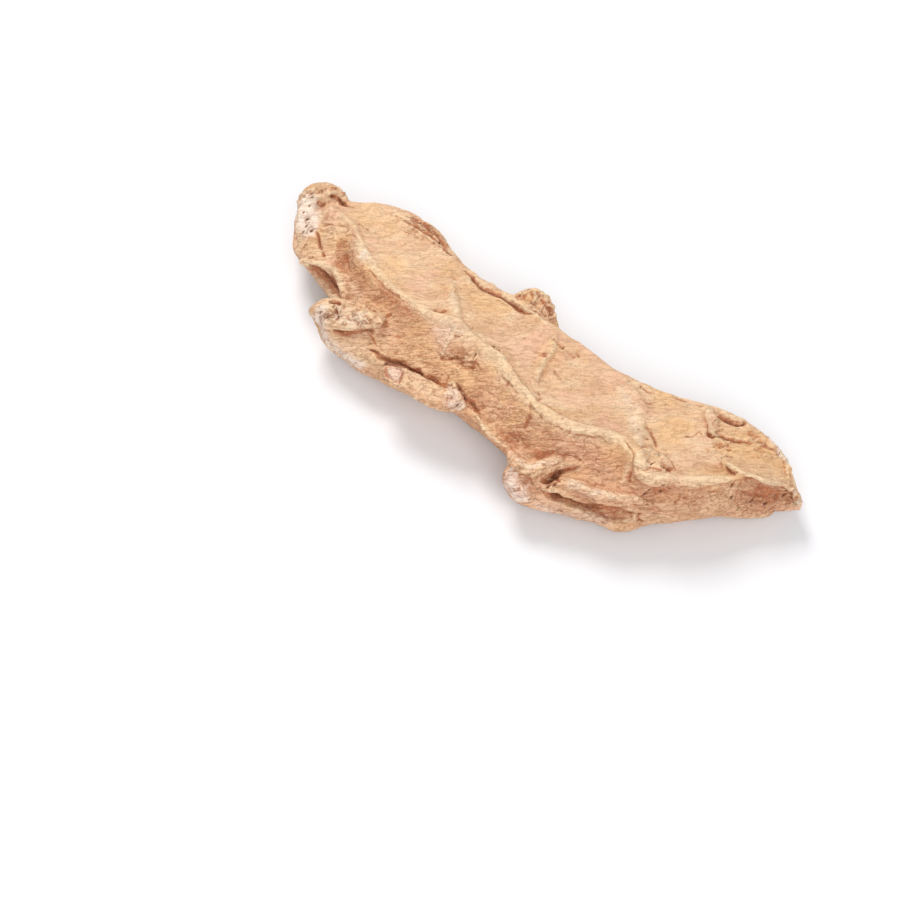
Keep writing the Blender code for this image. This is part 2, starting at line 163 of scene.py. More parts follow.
# The knobs, folds and rims that stand out of the body: points (x, y, z, radius) along each one.
LUMPS = {
    "bud_face": [
        (6.0, -16.8, 7.0, 1.2), (6.3, -18.4, 6.2, 1.6), (8.0, -19.1, 5.6, 1.5), (9.9, -18.9, 5.2, 0.9),
    ],
    "strap_upper_edge": [
        (-17.0, -14.4, 8.6, 0.7), (-15.0, -14.1, 8.7, 0.8), (-12.4, -13.7, 8.7, 0.8),
        (-10.0, -13.5, 8.7, 0.8), (-8.4, -13.2, 8.6, 0.8),
    ],
    "strap_lower_edge": [
        (-16.3, -15.5, 7.9, 0.7), (-14.7, -15.3, 7.9, 0.8), (-11.8, -15.3, 7.9, 0.8),
        (-9.4, -15.3, 7.9, 0.8), (-7.3, -14.9, 7.9, 0.8),
    ],
    "scar_strip": [
        (-42.9, 2.9, 9.4, 0.9), (-42.5, 0.8, 8.9, 1.5), (-41.8, -1.0, 8.0, 1.5), (-40.8, -2.5, 7.2, 0.9),
    ],
    "finger": [
        (-31.3, -11.2, 4.8, 1.4), (-28.5, -11.7, 4.8, 2.7), (-24.2, -11.2, 4.7, 3.7),
        (-19.1, -11.1, 4.8, 3.6), (-12.5, -11.3, 5.0, 2.8), (-6.7, -11.8, 5.6, 1.2),
    ],
    "knuckle_upper": [
        (-32.1, -12.1, 7.6, 1.0), (-30.7, -11.2, 8.4, 1.5), (-28.4, -10.1, 9.0, 1.6),
        (-25.5, -9.5, 9.4, 1.6), (-23.1, -8.9, 9.4, 1.6), (-21.5, -8.4, 9.4, 0.8),
    ],
    "knuckle_lower": [
        (-31.4, -12.3, 6.6, 0.8), (-29.1, -11.9, 7.6, 1.4), (-26.0, -11.3, 8.4, 1.4),
        (-23.2, -10.2, 8.6, 1.3), (-22.3, -9.6, 8.6, 0.6),
    ],
    "scale_stub": [
        (-17.4, -14.8, 7.8, 1.3), (-15.7, -14.9, 7.8, 1.5), (-11.8, -14.5, 7.9, 1.4),
        (-8.4, -14.0, 7.9, 1.6), (-6.5, -13.5, 7.9, 1.7), (-4.6, -13.5, 7.7, 1.1),
        (-3.0, -13.5, 7.5, 0.6),
    ],
    "margin_cord": [
        (-5.5, -13.0, 7.8, 0.6), (-2.1, -14.1, 7.9, 0.8), (1.2, -15.0, 7.9, 0.8),
        (3.8, -15.7, 7.7, 0.7),
    ],
    "bud_mass": [
        (7.1, -17.2, 4.6, 2.3), (10.9, -15.9, 4.6, 3.0), (15.9, -14.6, 4.4, 3.2),
        (20.6, -12.9, 4.2, 2.6), (25.2, -11.1, 4.0, 1.4),
    ],
    "bud_lower_rim": [
        (5.6, -17.8, 5.8, 1.0), (6.6, -18.8, 5.4, 1.3), (8.2, -19.4, 5.0, 1.4), (10.1, -18.8, 4.4, 1.3),
        (12.6, -18.0, 4.0, 1.1), (15.9, -16.7, 3.6, 1.0), (19.3, -15.5, 3.2, 1.0),
        (21.5, -14.7, 3.0, 1.2), (23.9, -12.2, 3.0, 1.0), (26.5, -10.6, 3.2, 0.5),
    ],
    "bud_upper_fold": [
        (4.7, -16.3, 8.1, 0.9), (6.1, -16.8, 7.7, 1.4), (7.9, -16.8, 7.4, 1.6), (9.5, -15.2, 7.8, 1.5),
        (10.9, -13.8, 8.3, 1.1), (13.2, -12.8, 8.8, 0.5),
    ],
    "bud_tongue": [
        (9.1, -17.6, 6.8, 0.8), (11.6, -17.4, 7.0, 1.0), (12.9, -15.9, 7.4, 1.0),
        (15.0, -15.2, 7.6, 1.1), (17.3, -15.1, 7.8, 1.2), (19.7, -14.2, 7.7, 1.2),
        (22.1, -12.9, 7.6, 1.0), (25.0, -11.9, 7.4, 0.4),
    ],
    "thin_margin": [
        (24.8, -12.2, 4.2, 0.9), (26.8, -10.3, 4.2, 1.2), (29.5, -7.8, 4.0, 1.2), (32.3, -5.2, 3.6, 1.1),
        (35.1, -3.3, 3.2, 1.1), (37.4, -1.7, 2.8, 0.9),
    ],
    "end_flap": [
        (-38.9, -5.7, 7.0, 0.5), (-36.4, -5.2, 7.9, 0.7), (-34.4, -4.9, 8.5, 0.7),
        (-32.2, -5.7, 8.7, 0.8), (-30.4, -7.1, 8.5, 0.7), (-29.2, -8.5, 8.2, 0.4),
    ],
    "crest_cord": [
        (-35.4, 2.1, 10.8, 0.4), (-31.3, -1.0, 11.0, 0.8), (-24.5, -4.4, 11.4, 0.8),
        (-17.7, -5.7, 11.9, 0.9), (-12.3, -5.1, 12.3, 1.0), (-8.1, -6.3, 12.5, 0.9),
        (-3.1, -7.0, 12.6, 1.0), (0.4, -8.8, 12.5, 1.1), (5.0, -10.0, 12.2, 1.0),
        (10.5, -9.8, 11.8, 1.1), (15.0, -8.1, 11.4, 1.2), (18.1, -7.8, 11.2, 1.2),
        (20.4, -8.7, 10.9, 1.1), (21.5, -10.2, 10.5, 0.9),
    ],
    "lower_ridge": [
        (21.6, -10.4, 10.5, 0.9), (24.2, -9.6, 10.5, 1.1), (28.3, -7.2, 10.0, 1.0),
        (31.4, -3.9, 9.2, 0.8), (32.7, -2.1, 8.9, 0.5),
    ],
    "hook": [
        (29.5, -1.1, 9.5, 0.4), (31.1, -2.0, 9.5, 0.7), (32.5, -1.7, 9.1, 0.7), (34.1, -1.0, 8.7, 0.7),
        (36.2, -0.2, 7.9, 0.7), (38.5, 1.1, 6.6, 0.8), (39.8, 1.5, 5.6, 0.8), (41.0, 1.6, 4.4, 0.6),
    ],
    "back_knob": [
        (-9.2, 6.3, 7.2, 0.8), (-8.2, 7.1, 7.4, 1.2), (-6.9, 7.9, 7.2, 1.5), (-5.5, 7.8, 6.6, 1.4),
        (-4.1, 7.0, 6.0, 1.1), (-2.4, 6.3, 5.4, 0.6),
    ],
    "back_knob_base": [
        (-7.1, 6.1, 6.4, 1.4), (-5.5, 6.5, 6.2, 1.8), (-3.9, 6.4, 5.6, 1.2),
    ],
    "back_fold": [
        (-34.9, 6.4, 6.0, 1.0), (-31.4, 8.1, 5.8, 2.5), (-27.6, 8.2, 5.6, 2.7), (-23.6, 7.1, 5.6, 2.4),
        (-19.2, 5.3, 5.6, 1.2),
    ],
    "end_knob": [
        (-44.0, 1.7, 7.9, 1.1), (-43.5, 3.8, 8.7, 1.8), (-41.5, 5.2, 9.1, 1.8), (-39.3, 5.6, 9.1, 0.9),
    ],
    "tip_lobe": [
        (31.3, -4.4, 1.9, 0.8), (34.2, -2.2, 1.8, 1.6), (37.0, -0.3, 2.0, 1.5), (38.3, 0.7, 2.2, 0.6),
    ],
}

# The photograph's camera: its turn about Z and its height above the table as angles, the point of the
# table at the middle of its picture and how far it is from there in millimetres of the drawing, its lens
# and sensor in millimetres, and its picture's width in pixels.
AZIMUTH = np.radians(34)
ELEVATION = np.radians(60)
AIM = np.array([-5.48, -16.57, 0.0])
DISTANCE = 357.6
LENS = 100.0
SENSOR = 36.0
PICTURE = 900


def way_back(azimuth, elevation):
    """The direction from the aim back to a camera that is turned so about Z and is so high."""
    flat = np.cos(elevation)
    return np.array([np.sin(azimuth) * flat, -np.cos(azimuth) * flat, np.sin(elevation)])


# The directions back to that camera, to its right and upwards in its picture, and its place.
BACK = way_back(AZIMUTH, ELEVATION)
RIGHT = np.array([np.cos(AZIMUTH), np.sin(AZIMUTH), 0.0])
UP = np.cross(BACK, RIGHT)
EYE = AIM + DISTANCE * BACK

# Creases: depth and half-width in mm, then the pixels (x, y) of the photograph that each passes through.
CREASES = {
    "scar_top_crack": (0.6, 0.25, [(329, 193), (333, 197), (340, 199), (353, 207)]),
    "scar_dimple": (0.12, 0.25, [(318, 203), (323, 204), (328, 202)]),
    "scar_rim_slit": (0.4, 0.20, [(297, 212), (295, 243)]),
    "scar_inner_edge": (0.4, 0.30, [(316, 230), (319, 246), (326, 259)]),
    "end_ledge": (0.2, 0.20, [(320, 226), (332, 225), (347, 227)]),
    "end_fold": (0.28, 0.20, [(306, 243), (301, 254)]),
    "end_fold_below": (0.24, 0.20, [(313, 256), (310, 258), (306, 258)]),
    "pocket": (0.3, 0.35, [(343, 251), (349, 272)]),
    "top_left_nick": (0.2, 0.2, [(358, 222), (369, 231)]),
    "flap_hollow": (0.4, 0.45, [(316, 270), (321, 272), (328, 278), (336, 293)]),
    "knuckle_slit": (0.9, 0.3, [(329, 299), (341, 304)]),
    "knuckle_end": (0.35, 0.25, [(394, 312), (388, 317), (386, 323), (377, 335)]),
    "knuckle_under": (0.6, 0.3, [(332, 330), (340, 333), (367, 331), (377, 334)]),
    "knuckle_fold": (0.6, 0.3, [(334, 305), (338, 318), (329, 331)]),
    "knuckle_side": (0.5, 0.25, [(329, 316), (320, 325)]),
    "knuckle_top": (0.25, 0.2, [(366, 304), (371, 309), (377, 311)]),
    "finger_above": (0.2, 0.25, [(378, 335), (406, 337)]),
    "finger_side": (0.15, 0.2, [(367, 333), (373, 338), (377, 345)]),
    "finger_oval": (0.2, 0.25, [(377, 345), (386, 352), (396, 353), (398, 346)]),
    "finger_crease": (0.55, 0.3, [(367, 348), (376, 351), (385, 361), (402, 365), (449, 389)]),
    "strap_end": (0.64, 0.35, [(454, 382), (480, 414)]),
    "margin_behind": (0.4, 0.25, [(391, 213), (434, 239), (448, 252), (454, 255)]),
    "margin_before": (0.16, 0.20, [(400, 229), (434, 244), (442, 249)]),
    "far_crease": (0.64, 0.30, [
        (461, 268), (472, 275), (476, 281), (487, 290), (503, 297), (521, 310), (539, 317),
    ]),
    "far_net": (0.16, 0.20, [(496, 299), (512, 308)]),
    "far_loop": (0.16, 0.20, [(453, 272), (452, 276), (457, 280)]),
    "knob_crease": (0.64, 0.30, [(526, 307), (543, 316), (554, 325)]),
    "knob_left": (0.3, 0.22, [(529, 290), (533, 296), (531, 303), (536, 309)]),
    "knob_middle": (0.3, 0.22, [(541, 292), (542, 299), (547, 305)]),
    "knob_right": (0.25, 0.2, [(551, 305), (549, 311), (553, 318)]),
    "knob_top": (0.2, 0.2, [(519, 295), (524, 299), (529, 298)]),
    "crest_notch": (0.44, 0.30, [(434, 308), (441, 311), (449, 310)]),
    "crest_under_left": (0.22, 0.25, [(358, 265), (369, 269), (381, 283), (392, 293), (415, 309)]),
    "crest_under": (0.2, 0.25, [
        (494, 363), (506, 381), (515, 391), (525, 398), (538, 415), (547, 422), (577, 435), (600, 438),
        (607, 442),
    ]),
    "crest_under_end": (0.4, 0.25, [
        (620, 438), (632, 451), (634, 460), (632, 468), (634, 478), (641, 484), (652, 487), (692, 486),
    ]),
    "crest_step": (0.24, 0.25, [(538, 391), (540, 397), (536, 402)]),
    "ring_under": (0.35, 0.3, [(439, 356), (446, 360), (453, 357), (458, 360)]),
    "ring_hollow": (0.35, 0.45, [(452, 353), (463, 365), (475, 368)]),
    "bump_under": (0.24, 0.25, [(458, 367), (471, 372)]),
    "lower_hollow": (0.24, 0.65, [(465, 388), (476, 397), (487, 411)]),
    "facet_step": (0.25, 0.3, [(528, 401), (530, 411), (526, 423), (515, 430)]),
    "facet_hollow": (0.25, 0.45, [(517, 430), (520, 441), (525, 445), (531, 447)]),
    "fibre_hollow": (0.3, 0.35, [(504, 431), (512, 437), (517, 443)]),
    "second_ring_pit": (0.4, 0.35, [(543, 352), (546, 357)]),
    "second_ring_top": (0.32, 0.30, [(555, 337), (556, 341), (567, 351)]),
    "second_ring_right": (0.24, 0.30, [(567, 352), (573, 356), (577, 354), (580, 357)]),
    "second_ring_low": (0.2, 0.30, [(553, 369), (562, 381)]),
    "bud_above": (0.2, 0.30, [(534, 456), (541, 456), (552, 453), (576, 457), (588, 468)]),
    "bud_main": (0.8, 0.22, [(531, 484), (549, 480), (560, 472), (569, 471), (583, 465)]),
    "bud_branch": (0.4, 0.20, [(555, 476), (560, 483)]),
    "bud_middle": (0.64, 0.30, [(539, 488), (551, 497), (563, 501)]),
    "bud_inner": (0.4, 0.30, [(551, 497), (578, 507), (602, 519), (612, 522), (620, 521)]),
    "bud_right": (0.48, 0.25, [(629, 506), (643, 507), (651, 505)]),
    "bud_right_down": (0.48, 0.25, [(645, 507), (641, 514), (640, 521), (636, 523)]),
    "bud_right_small": (0.32, 0.20, [(623, 514), (629, 517), (636, 518)]),
    "rib_side": (0.24, 0.25, [(632, 467), (628, 485)]),
    "triangle_edge": (0.16, 0.20, [(649, 447), (667, 457), (673, 465)]),
    "triangle_hollow": (0.48, 0.35, [(661, 469), (664, 467), (667, 469), (672, 469)]),
    "pit_lead": (0.24, 0.20, [(644, 460), (652, 464)]),
    "ring_nick": (0.24, 0.20, [(637, 430), (646, 430)]),
    "ring_nick_low": (0.24, 0.20, [(645, 440), (650, 438)]),
    "ring_right": (0.24, 0.25, [(647, 423), (657, 441), (656, 447)]),
    "top_edge": (0.28, 0.25, [(639, 384), (643, 388), (661, 395)]),
    "top_edge_right": (0.32, 0.20, [(672, 396), (706, 406)]),
    "top_nick": (0.16, 0.20, [(638, 395), (646, 401), (655, 402)]),
    "lens_side": (0.5, 0.25, [(706, 419), (710, 436), (721, 436), (732, 439), (736, 442), (759, 442)]),
    "lens_lead": (0.2, 0.20, [(680, 435), (692, 436), (699, 431), (703, 436)]),
    "roll_under": (0.7, 0.3, [(714, 410), (719, 416), (736, 424), (749, 422)]),
    "rough_first": (0.24, 0.20, [(713, 445), (718, 446)]),
    "rough_second": (0.24, 0.20, [(727, 449), (732, 449)]),
    "rough_third": (0.24, 0.20, [(726, 456), (733, 457)]),
    "hook_crease": (0.48, 0.25, [(725, 464), (727, 469), (731, 472), (737, 472)]),
    "lower_edge": (0.3, 0.3, [(743, 476), (751, 481), (782, 489), (788, 496), (793, 506)]),
    "end_arc": (0.15, 0.30, [(743, 478), (736, 483), (725, 499)]),
    "band_under": (0.24, 0.30, [(690, 486), (724, 485), (735, 482)]),
    "rim_inside": (0.2, 0.3, [(768, 437), (766, 445), (778, 452), (788, 478)]),
    "low_net": (0.2, 0.25, [(677, 488), (680, 497), (674, 505)]),
    "low_net_right": (0.16, 0.20, [(680, 497), (690, 498), (702, 496)]),
    "bump_wrinkle": (0.15, 0.20, [(463, 352), (468, 356), (475, 357)]),
    "bump_wrinkle_low": (0.15, 0.20, [(467, 362), (473, 362), (479, 367)]),
    "strap_cut_line": (0.45, 0.20, [(404, 369), (401, 385)]),
    "lens_line": (0.2, 0.20, [(716, 443), (724, 445), (733, 443)]),
    "facet_line": (0.2, 0.18, [(738, 492), (784, 500)]),
    "facet_line_middle": (0.2, 0.18, [(733, 499), (780, 506)]),
    "facet_line_low": (0.2, 0.18, [(735, 507), (766, 510)]),
    "under_band_right": (0.2, 0.22, [(700, 492), (716, 493), (728, 491)]),
    "back_facet_line": (0.35, 0.25, [(404, 214), (429, 229), (440, 239), (448, 250)]),
    "strap_above": (0.5, 0.25, [(449, 389), (440, 383), (404, 366)]),
    "fold_under": (0.35, 0.25, [(516, 474), (524, 477), (532, 483)]),
    "tongue_under": (0.5, 0.3, [(548, 492), (562, 499), (580, 504), (598, 507), (628, 506)]),
}

# Ribs: height and half-width in mm, then pixels as for creases.
RIBS = {
    "scar_edge": (0.18, 0.45, [(303, 198), (300, 210), (298, 236), (300, 248)]),
    "scar_knob": (0.18, 0.65, [(336, 193), (347, 200)]),
    "flap": (0.24, 0.45, [(305, 261), (329, 267), (337, 274), (341, 284), (342, 293)]),
    "crest_left": (0.1, 0.9, [
        (352, 224), (359, 236), (363, 248), (369, 259), (377, 271), (386, 281), (418, 308), (444, 317),
        (454, 319), (464, 324),
    ]),
    "crest_middle": (0.15, 1.30, [
        (464, 325), (476, 334), (487, 345), (521, 389), (541, 410), (566, 425), (608, 434), (620, 441),
        (636, 459),
    ]),
    "margin": (0.21, 0.30, [(395, 219), (422, 233), (449, 252)]),
    "overlap": (0.24, 0.40, [(497, 289), (519, 305), (538, 315), (555, 327)]),
    "ring_line": (0.3, 0.22, [(458, 326), (442, 354)]),
    "ring_foot": (0.12, 0.3, [(439, 353), (444, 352), (449, 354)]),
    "bump": (0.15, 0.8, [(463, 357), (468, 357), (472, 359)]),
    "strap_top": (0.1, 0.25, [(398, 363), (409, 371), (441, 386), (447, 391)]),
    "strap_cut": (0.18, 0.25, [(403, 368), (400, 385)]),
    "strap_rim": (0.3, 0.35, [(446, 385), (452, 383), (458, 389), (469, 405)]),
    "margin_low": (0.24, 0.30, [(466, 400), (491, 436), (509, 451)]),
    "crest_spur": (0.18, 0.55, [(520, 389), (538, 394)]),
    "bud_cap": (0.1, 0.6, [(513, 450), (523, 453), (535, 461)]),
    "bud_fold": (0.1, 0.6, [(534, 461), (546, 461), (558, 458), (565, 459)]),
    "bud_strand": (0.24, 0.45, [(534, 486), (554, 492), (565, 491), (573, 487)]),
    "bud_strand_right": (0.24, 0.55, [
        (563, 479), (573, 482), (581, 488), (592, 492), (620, 497), (636, 498), (648, 502),
    ]),
    "third_ring": (0.15, 1.20, [(616, 382), (632, 414), (641, 450)]),
    "low_rib": (0.21, 0.45, [(628, 463), (621, 487)]),
    "triangle": (0.21, 0.45, [(641, 455), (650, 452), (660, 456), (673, 467)]),
    "lower_band": (0.2, 0.9, [(640, 470), (646, 477), (659, 478), (677, 477), (722, 480), (735, 477)]),
    "lens": (0.24, 0.35, [(708, 409), (708, 419), (711, 428), (715, 434)]),
    "roll": (0.21, 0.55, [(719, 411), (728, 416), (748, 418)]),
    "hook": (0.24, 0.35, [(726, 460), (731, 466), (747, 475), (774, 484), (785, 486)]),
    "rim_right": (0.1, 0.35, [(765, 433), (783, 457), (790, 479)]),
    "knuckle_right": (0.3, 0.65, [(790, 486), (792, 491)]),
    "tip": (0.24, 0.45, [(792, 503), (796, 507)]),
    "strap_low": (0.1, 0.25, [(392, 383), (421, 401), (445, 412)]),
    "strap_middle": (-0.1, 0.60, [(406, 377), (441, 399)]),
    "second_ring": (0.25, 0.60, [(557, 340), (553, 349), (546, 358), (541, 370), (538, 384)]),
}

# The outline of the hollow behind the flap at the thick end.
END_HOLLOW = [
    (309, 265), (321, 268), (331, 276), (338, 287), (339, 298), (328, 295), (318, 285), (309, 274),
]

# Patches that stand up from the skin (+) or lie lower (-): height and softness of the edge in mm, tint
# and its strength, then the pixels of the outline.
PATCHES = {
    "strap": (0.15, 0.15, "pale", 0.4, [
        (385, 364), (398, 363), (409, 371), (449, 391), (446, 400), (450, 416), (432, 410), (405, 390),
        (392, 383),
    ]),
    "strap_knob": (0.15, 0.30, "chalk", 0.6, [
        (446, 386), (453, 384), (459, 391), (468, 409), (460, 412), (450, 410), (444, 402),
    ]),
    "cut_face": (-0.45, 0.20, "mauve", 1.0, [
        (384, 364), (398, 363), (402, 369), (400, 385), (392, 382), (384, 376),
    ]),
    "knuckle": (0.2, 0.50, "pale", 1.0, [
        (316, 304), (340, 306), (354, 305), (383, 315), (388, 320), (384, 329), (378, 333), (367, 330),
        (340, 332), (322, 330), (314, 320),
    ]),
    "triangle": (0.35, 0.30, "pale", 0.5, [
        (637, 452), (650, 447), (660, 452), (675, 468), (661, 470), (650, 467), (640, 470), (634, 463),
    ]),
    "end_facet": (-0.3, 0.90, "fibre", 0.8, [
        (745, 477), (767, 485), (782, 488), (790, 497), (793, 506), (775, 513), (742, 514), (733, 504),
        (734, 492), (739, 483),
    ]),
    "smooth_facet": (0.20, 1.00, "ochre", 0.8, [
        (500, 385), (527, 401), (529, 411), (525, 422), (515, 430), (506, 427), (498, 405),
    ]),
    "bud_hollow": (-0.9, 0.50, "fibre", 1.0, [
        (548, 495), (580, 505), (625, 510), (637, 514), (632, 520), (612, 522), (560, 504),
    ]),
    "end_hollow": (-0.9, 0.30, "fibre", 0.4, END_HOLLOW),
    "end_hollow_rust": (0.0, 0.60, "rust", 1.0, END_HOLLOW),
    "ring_flank": (0.0, 2.20, "mauve", 0.6, [
        (428, 318), (459, 322), (457, 331), (449, 348), (446, 356), (440, 354), (430, 332),
    ]),
    "scar": (0.0, 0.60, "chalk", 0.9, [
        (300, 197), (309, 191), (318, 196), (320, 210), (318, 226), (314, 236), (303, 238), (297, 228),
        (297, 210),
    ]),
    "pocket": (-0.20, 0.40, "fibre", 0.8, [
        (337, 242), (345, 240), (352, 252), (355, 268), (349, 276), (339, 268), (334, 255),
    ]),
    "under_crest": (0.0, 0.60, "fibre", 0.8, [
        (345, 252), (353, 250), (375, 284), (395, 301), (425, 316), (428, 324), (400, 318), (378, 306),
        (358, 292), (343, 275),
    ]),
    "left_flank": (0.0, 1.00, "fibre", 0.45, [
        (343, 272), (358, 290), (380, 306), (405, 319), (432, 328), (450, 372), (436, 372), (410, 358),
        (392, 340), (392, 318), (375, 305), (350, 298),
    ]),
    "under_ring": (-0.15, 0.60, "fibre", 0.5, [
        (452, 345), (462, 348), (480, 366), (476, 372), (462, 370), (444, 357),
    ]),
    "lower_strip": (0.0, 0.60, "fibre", 0.35, [
        (530, 408), (545, 426), (575, 438), (600, 442), (622, 450), (632, 466), (626, 486), (600, 482),
        (570, 462), (545, 450), (532, 440), (524, 424),
    ]),
    "lower_right": (0.0, 0.60, "fibre", 0.4, [
        (638, 484), (690, 488), (735, 484), (728, 500), (700, 505), (660, 505), (640, 500),
    ]),
    "low_pocket": (-0.1, 1.00, "fibre", 0.6, [
        (500, 430), (518, 431), (531, 444), (522, 450), (510, 449), (500, 440),
    ]),
    "facet_foot": (0.0, 0.60, "fibre", 0.5, [
        (466, 388), (492, 426), (503, 432), (516, 431), (514, 445), (505, 447), (488, 432), (472, 408),
    ]),
    "end_rust": (0.0, 0.60, "rust", 0.25, [
        (730, 428), (752, 427), (766, 436), (776, 450), (784, 468), (786, 482), (745, 468), (728, 456),
    ]),
    "end_fibres": (0.0, 0.60, "fibre", 0.35, [
        (715, 433), (735, 428), (752, 430), (764, 438), (774, 452), (778, 466), (755, 464), (732, 456),
        (716, 448),
    ]),
    "finger": (0.0, 0.80, "pale", 0.8, [
        (314, 326), (330, 334), (368, 345), (380, 362), (366, 368), (345, 362), (330, 350), (320, 338),
    ]),
    "orange_end": (0.0, 0.60, "ochre", 0.9, [
        (712, 436), (752, 430), (764, 436), (774, 450), (770, 462), (745, 462), (712, 448),
    ]),
}

# How much softer a patch's tint is at its edge than its height, in mm.
TINT_EDGE = 0.8

# Pits: pixels (x, y), then radius and depth in mm.
PITS = [
    (307, 219, 0.35, 0.5), (309, 205, 0.3, 0.4), (311, 230, 0.3, 0.4), (303, 212, 0.25, 0.3),
    (303, 232, 0.3, 0.3), (306, 226, 0.25, 0.3), (311, 197, 0.3, 0.4), (317, 192, 0.25, 0.3),
    (354, 301, 0.3, 0.4), (474, 355, 0.35, 0.4), (498, 349, 0.3, 0.3), (494, 345, 0.2, 0.3),
    (652, 464, 0.4, 0.9), (656, 487, 0.5, 0.9), (649, 489, 0.3, 0.5),
    (662, 486, 0.35, 0.6), (644, 493, 0.3, 0.4), (554, 483, 0.4, 0.8), (547, 486, 0.3, 0.5),
    (563, 347, 0.35, 0.4), (457, 405, 0.25, 0.4), (780, 452, 0.4, 0.5), (732, 497, 0.4, 0.4),
    (739, 509, 0.4, 0.4), (732, 486, 0.3, 0.3), (766, 505, 0.4, 0.4), (753, 500, 0.4, 0.4),
    (786, 492, 0.3, 0.4), (790, 500, 0.3, 0.5), (776, 497, 0.3, 0.3), (714, 420, 0.3, 0.3),
    (412, 217, 0.3, 0.4), (420, 222, 0.3, 0.5), (431, 231, 0.3, 0.5), (440, 241, 0.3, 0.5),
    (320, 312, 0.3, 0.4), (333, 306, 0.3, 0.5), (791, 495, 0.35, 0.5), (794, 503, 0.3, 0.5),
    (784, 497, 0.3, 0.4), (660, 491, 0.3, 0.4), (668, 489, 0.3, 0.4),
]

# Bumps: pixels (x, y), then radius and height in mm.
BUMPS = [
    (330, 313, 1.3, 0.5), (341, 309, 1.1, 0.45), (345, 321, 1.2, 0.4), (356, 311, 1.1, 0.4),
    (362, 322, 1.2, 0.4), (372, 318, 1.1, 0.45), (381, 321, 1.0, 0.4), (322, 318, 1.2, 0.4),
    (512, 458, 0.9, 0.4), (521, 465, 0.8, 0.3), (530, 474, 0.8, 0.3), (546, 464, 0.9, 0.3),
    (556, 461, 0.8, 0.3), (509, 474, 0.9, 0.25), (516, 489, 0.9, 0.25), (530, 499, 0.9, 0.2),
    (556, 511, 0.9, 0.25), (584, 518, 0.8, 0.25), (604, 522, 0.8, 0.3), (452, 388, 0.6, 0.35),
    (449, 399, 0.6, 0.3), (458, 401, 0.7, 0.3), (464, 407, 0.6, 0.25), (312, 190, 0.8, 0.3),
    (323, 188, 0.8, 0.3), (334, 189, 0.8, 0.3), (343, 193, 0.8, 0.35), (303, 201, 0.7, 0.25),
    (521, 293, 0.8, 0.4), (531, 290, 0.8, 0.4), (541, 293, 0.8, 0.4), (546, 301, 0.8, 0.4),
    (535, 300, 0.8, 0.35), (549, 312, 0.8, 0.3), (542, 309, 0.7, 0.3), (645, 456, 0.9, 0.3),
    (655, 457, 0.9, 0.3), (665, 462, 0.8, 0.25), (643, 467, 0.9, 0.3), (768, 436, 0.5, 0.25),
    (776, 447, 0.5, 0.25), (782, 459, 0.5, 0.2), (787, 472, 0.5, 0.25), (792, 488, 0.6, 0.3),
    (796, 500, 0.7, 0.3), (465, 357, 0.7, 0.3), (472, 361, 0.7, 0.3),
]

# The pale lines of two node rings on the upper side.
FIRST_RING_LINE = [(451, 290), (454, 304), (457, 318)]
THIRD_RING_LINE = [(618, 380), (630, 408), (636, 430), (641, 452)]

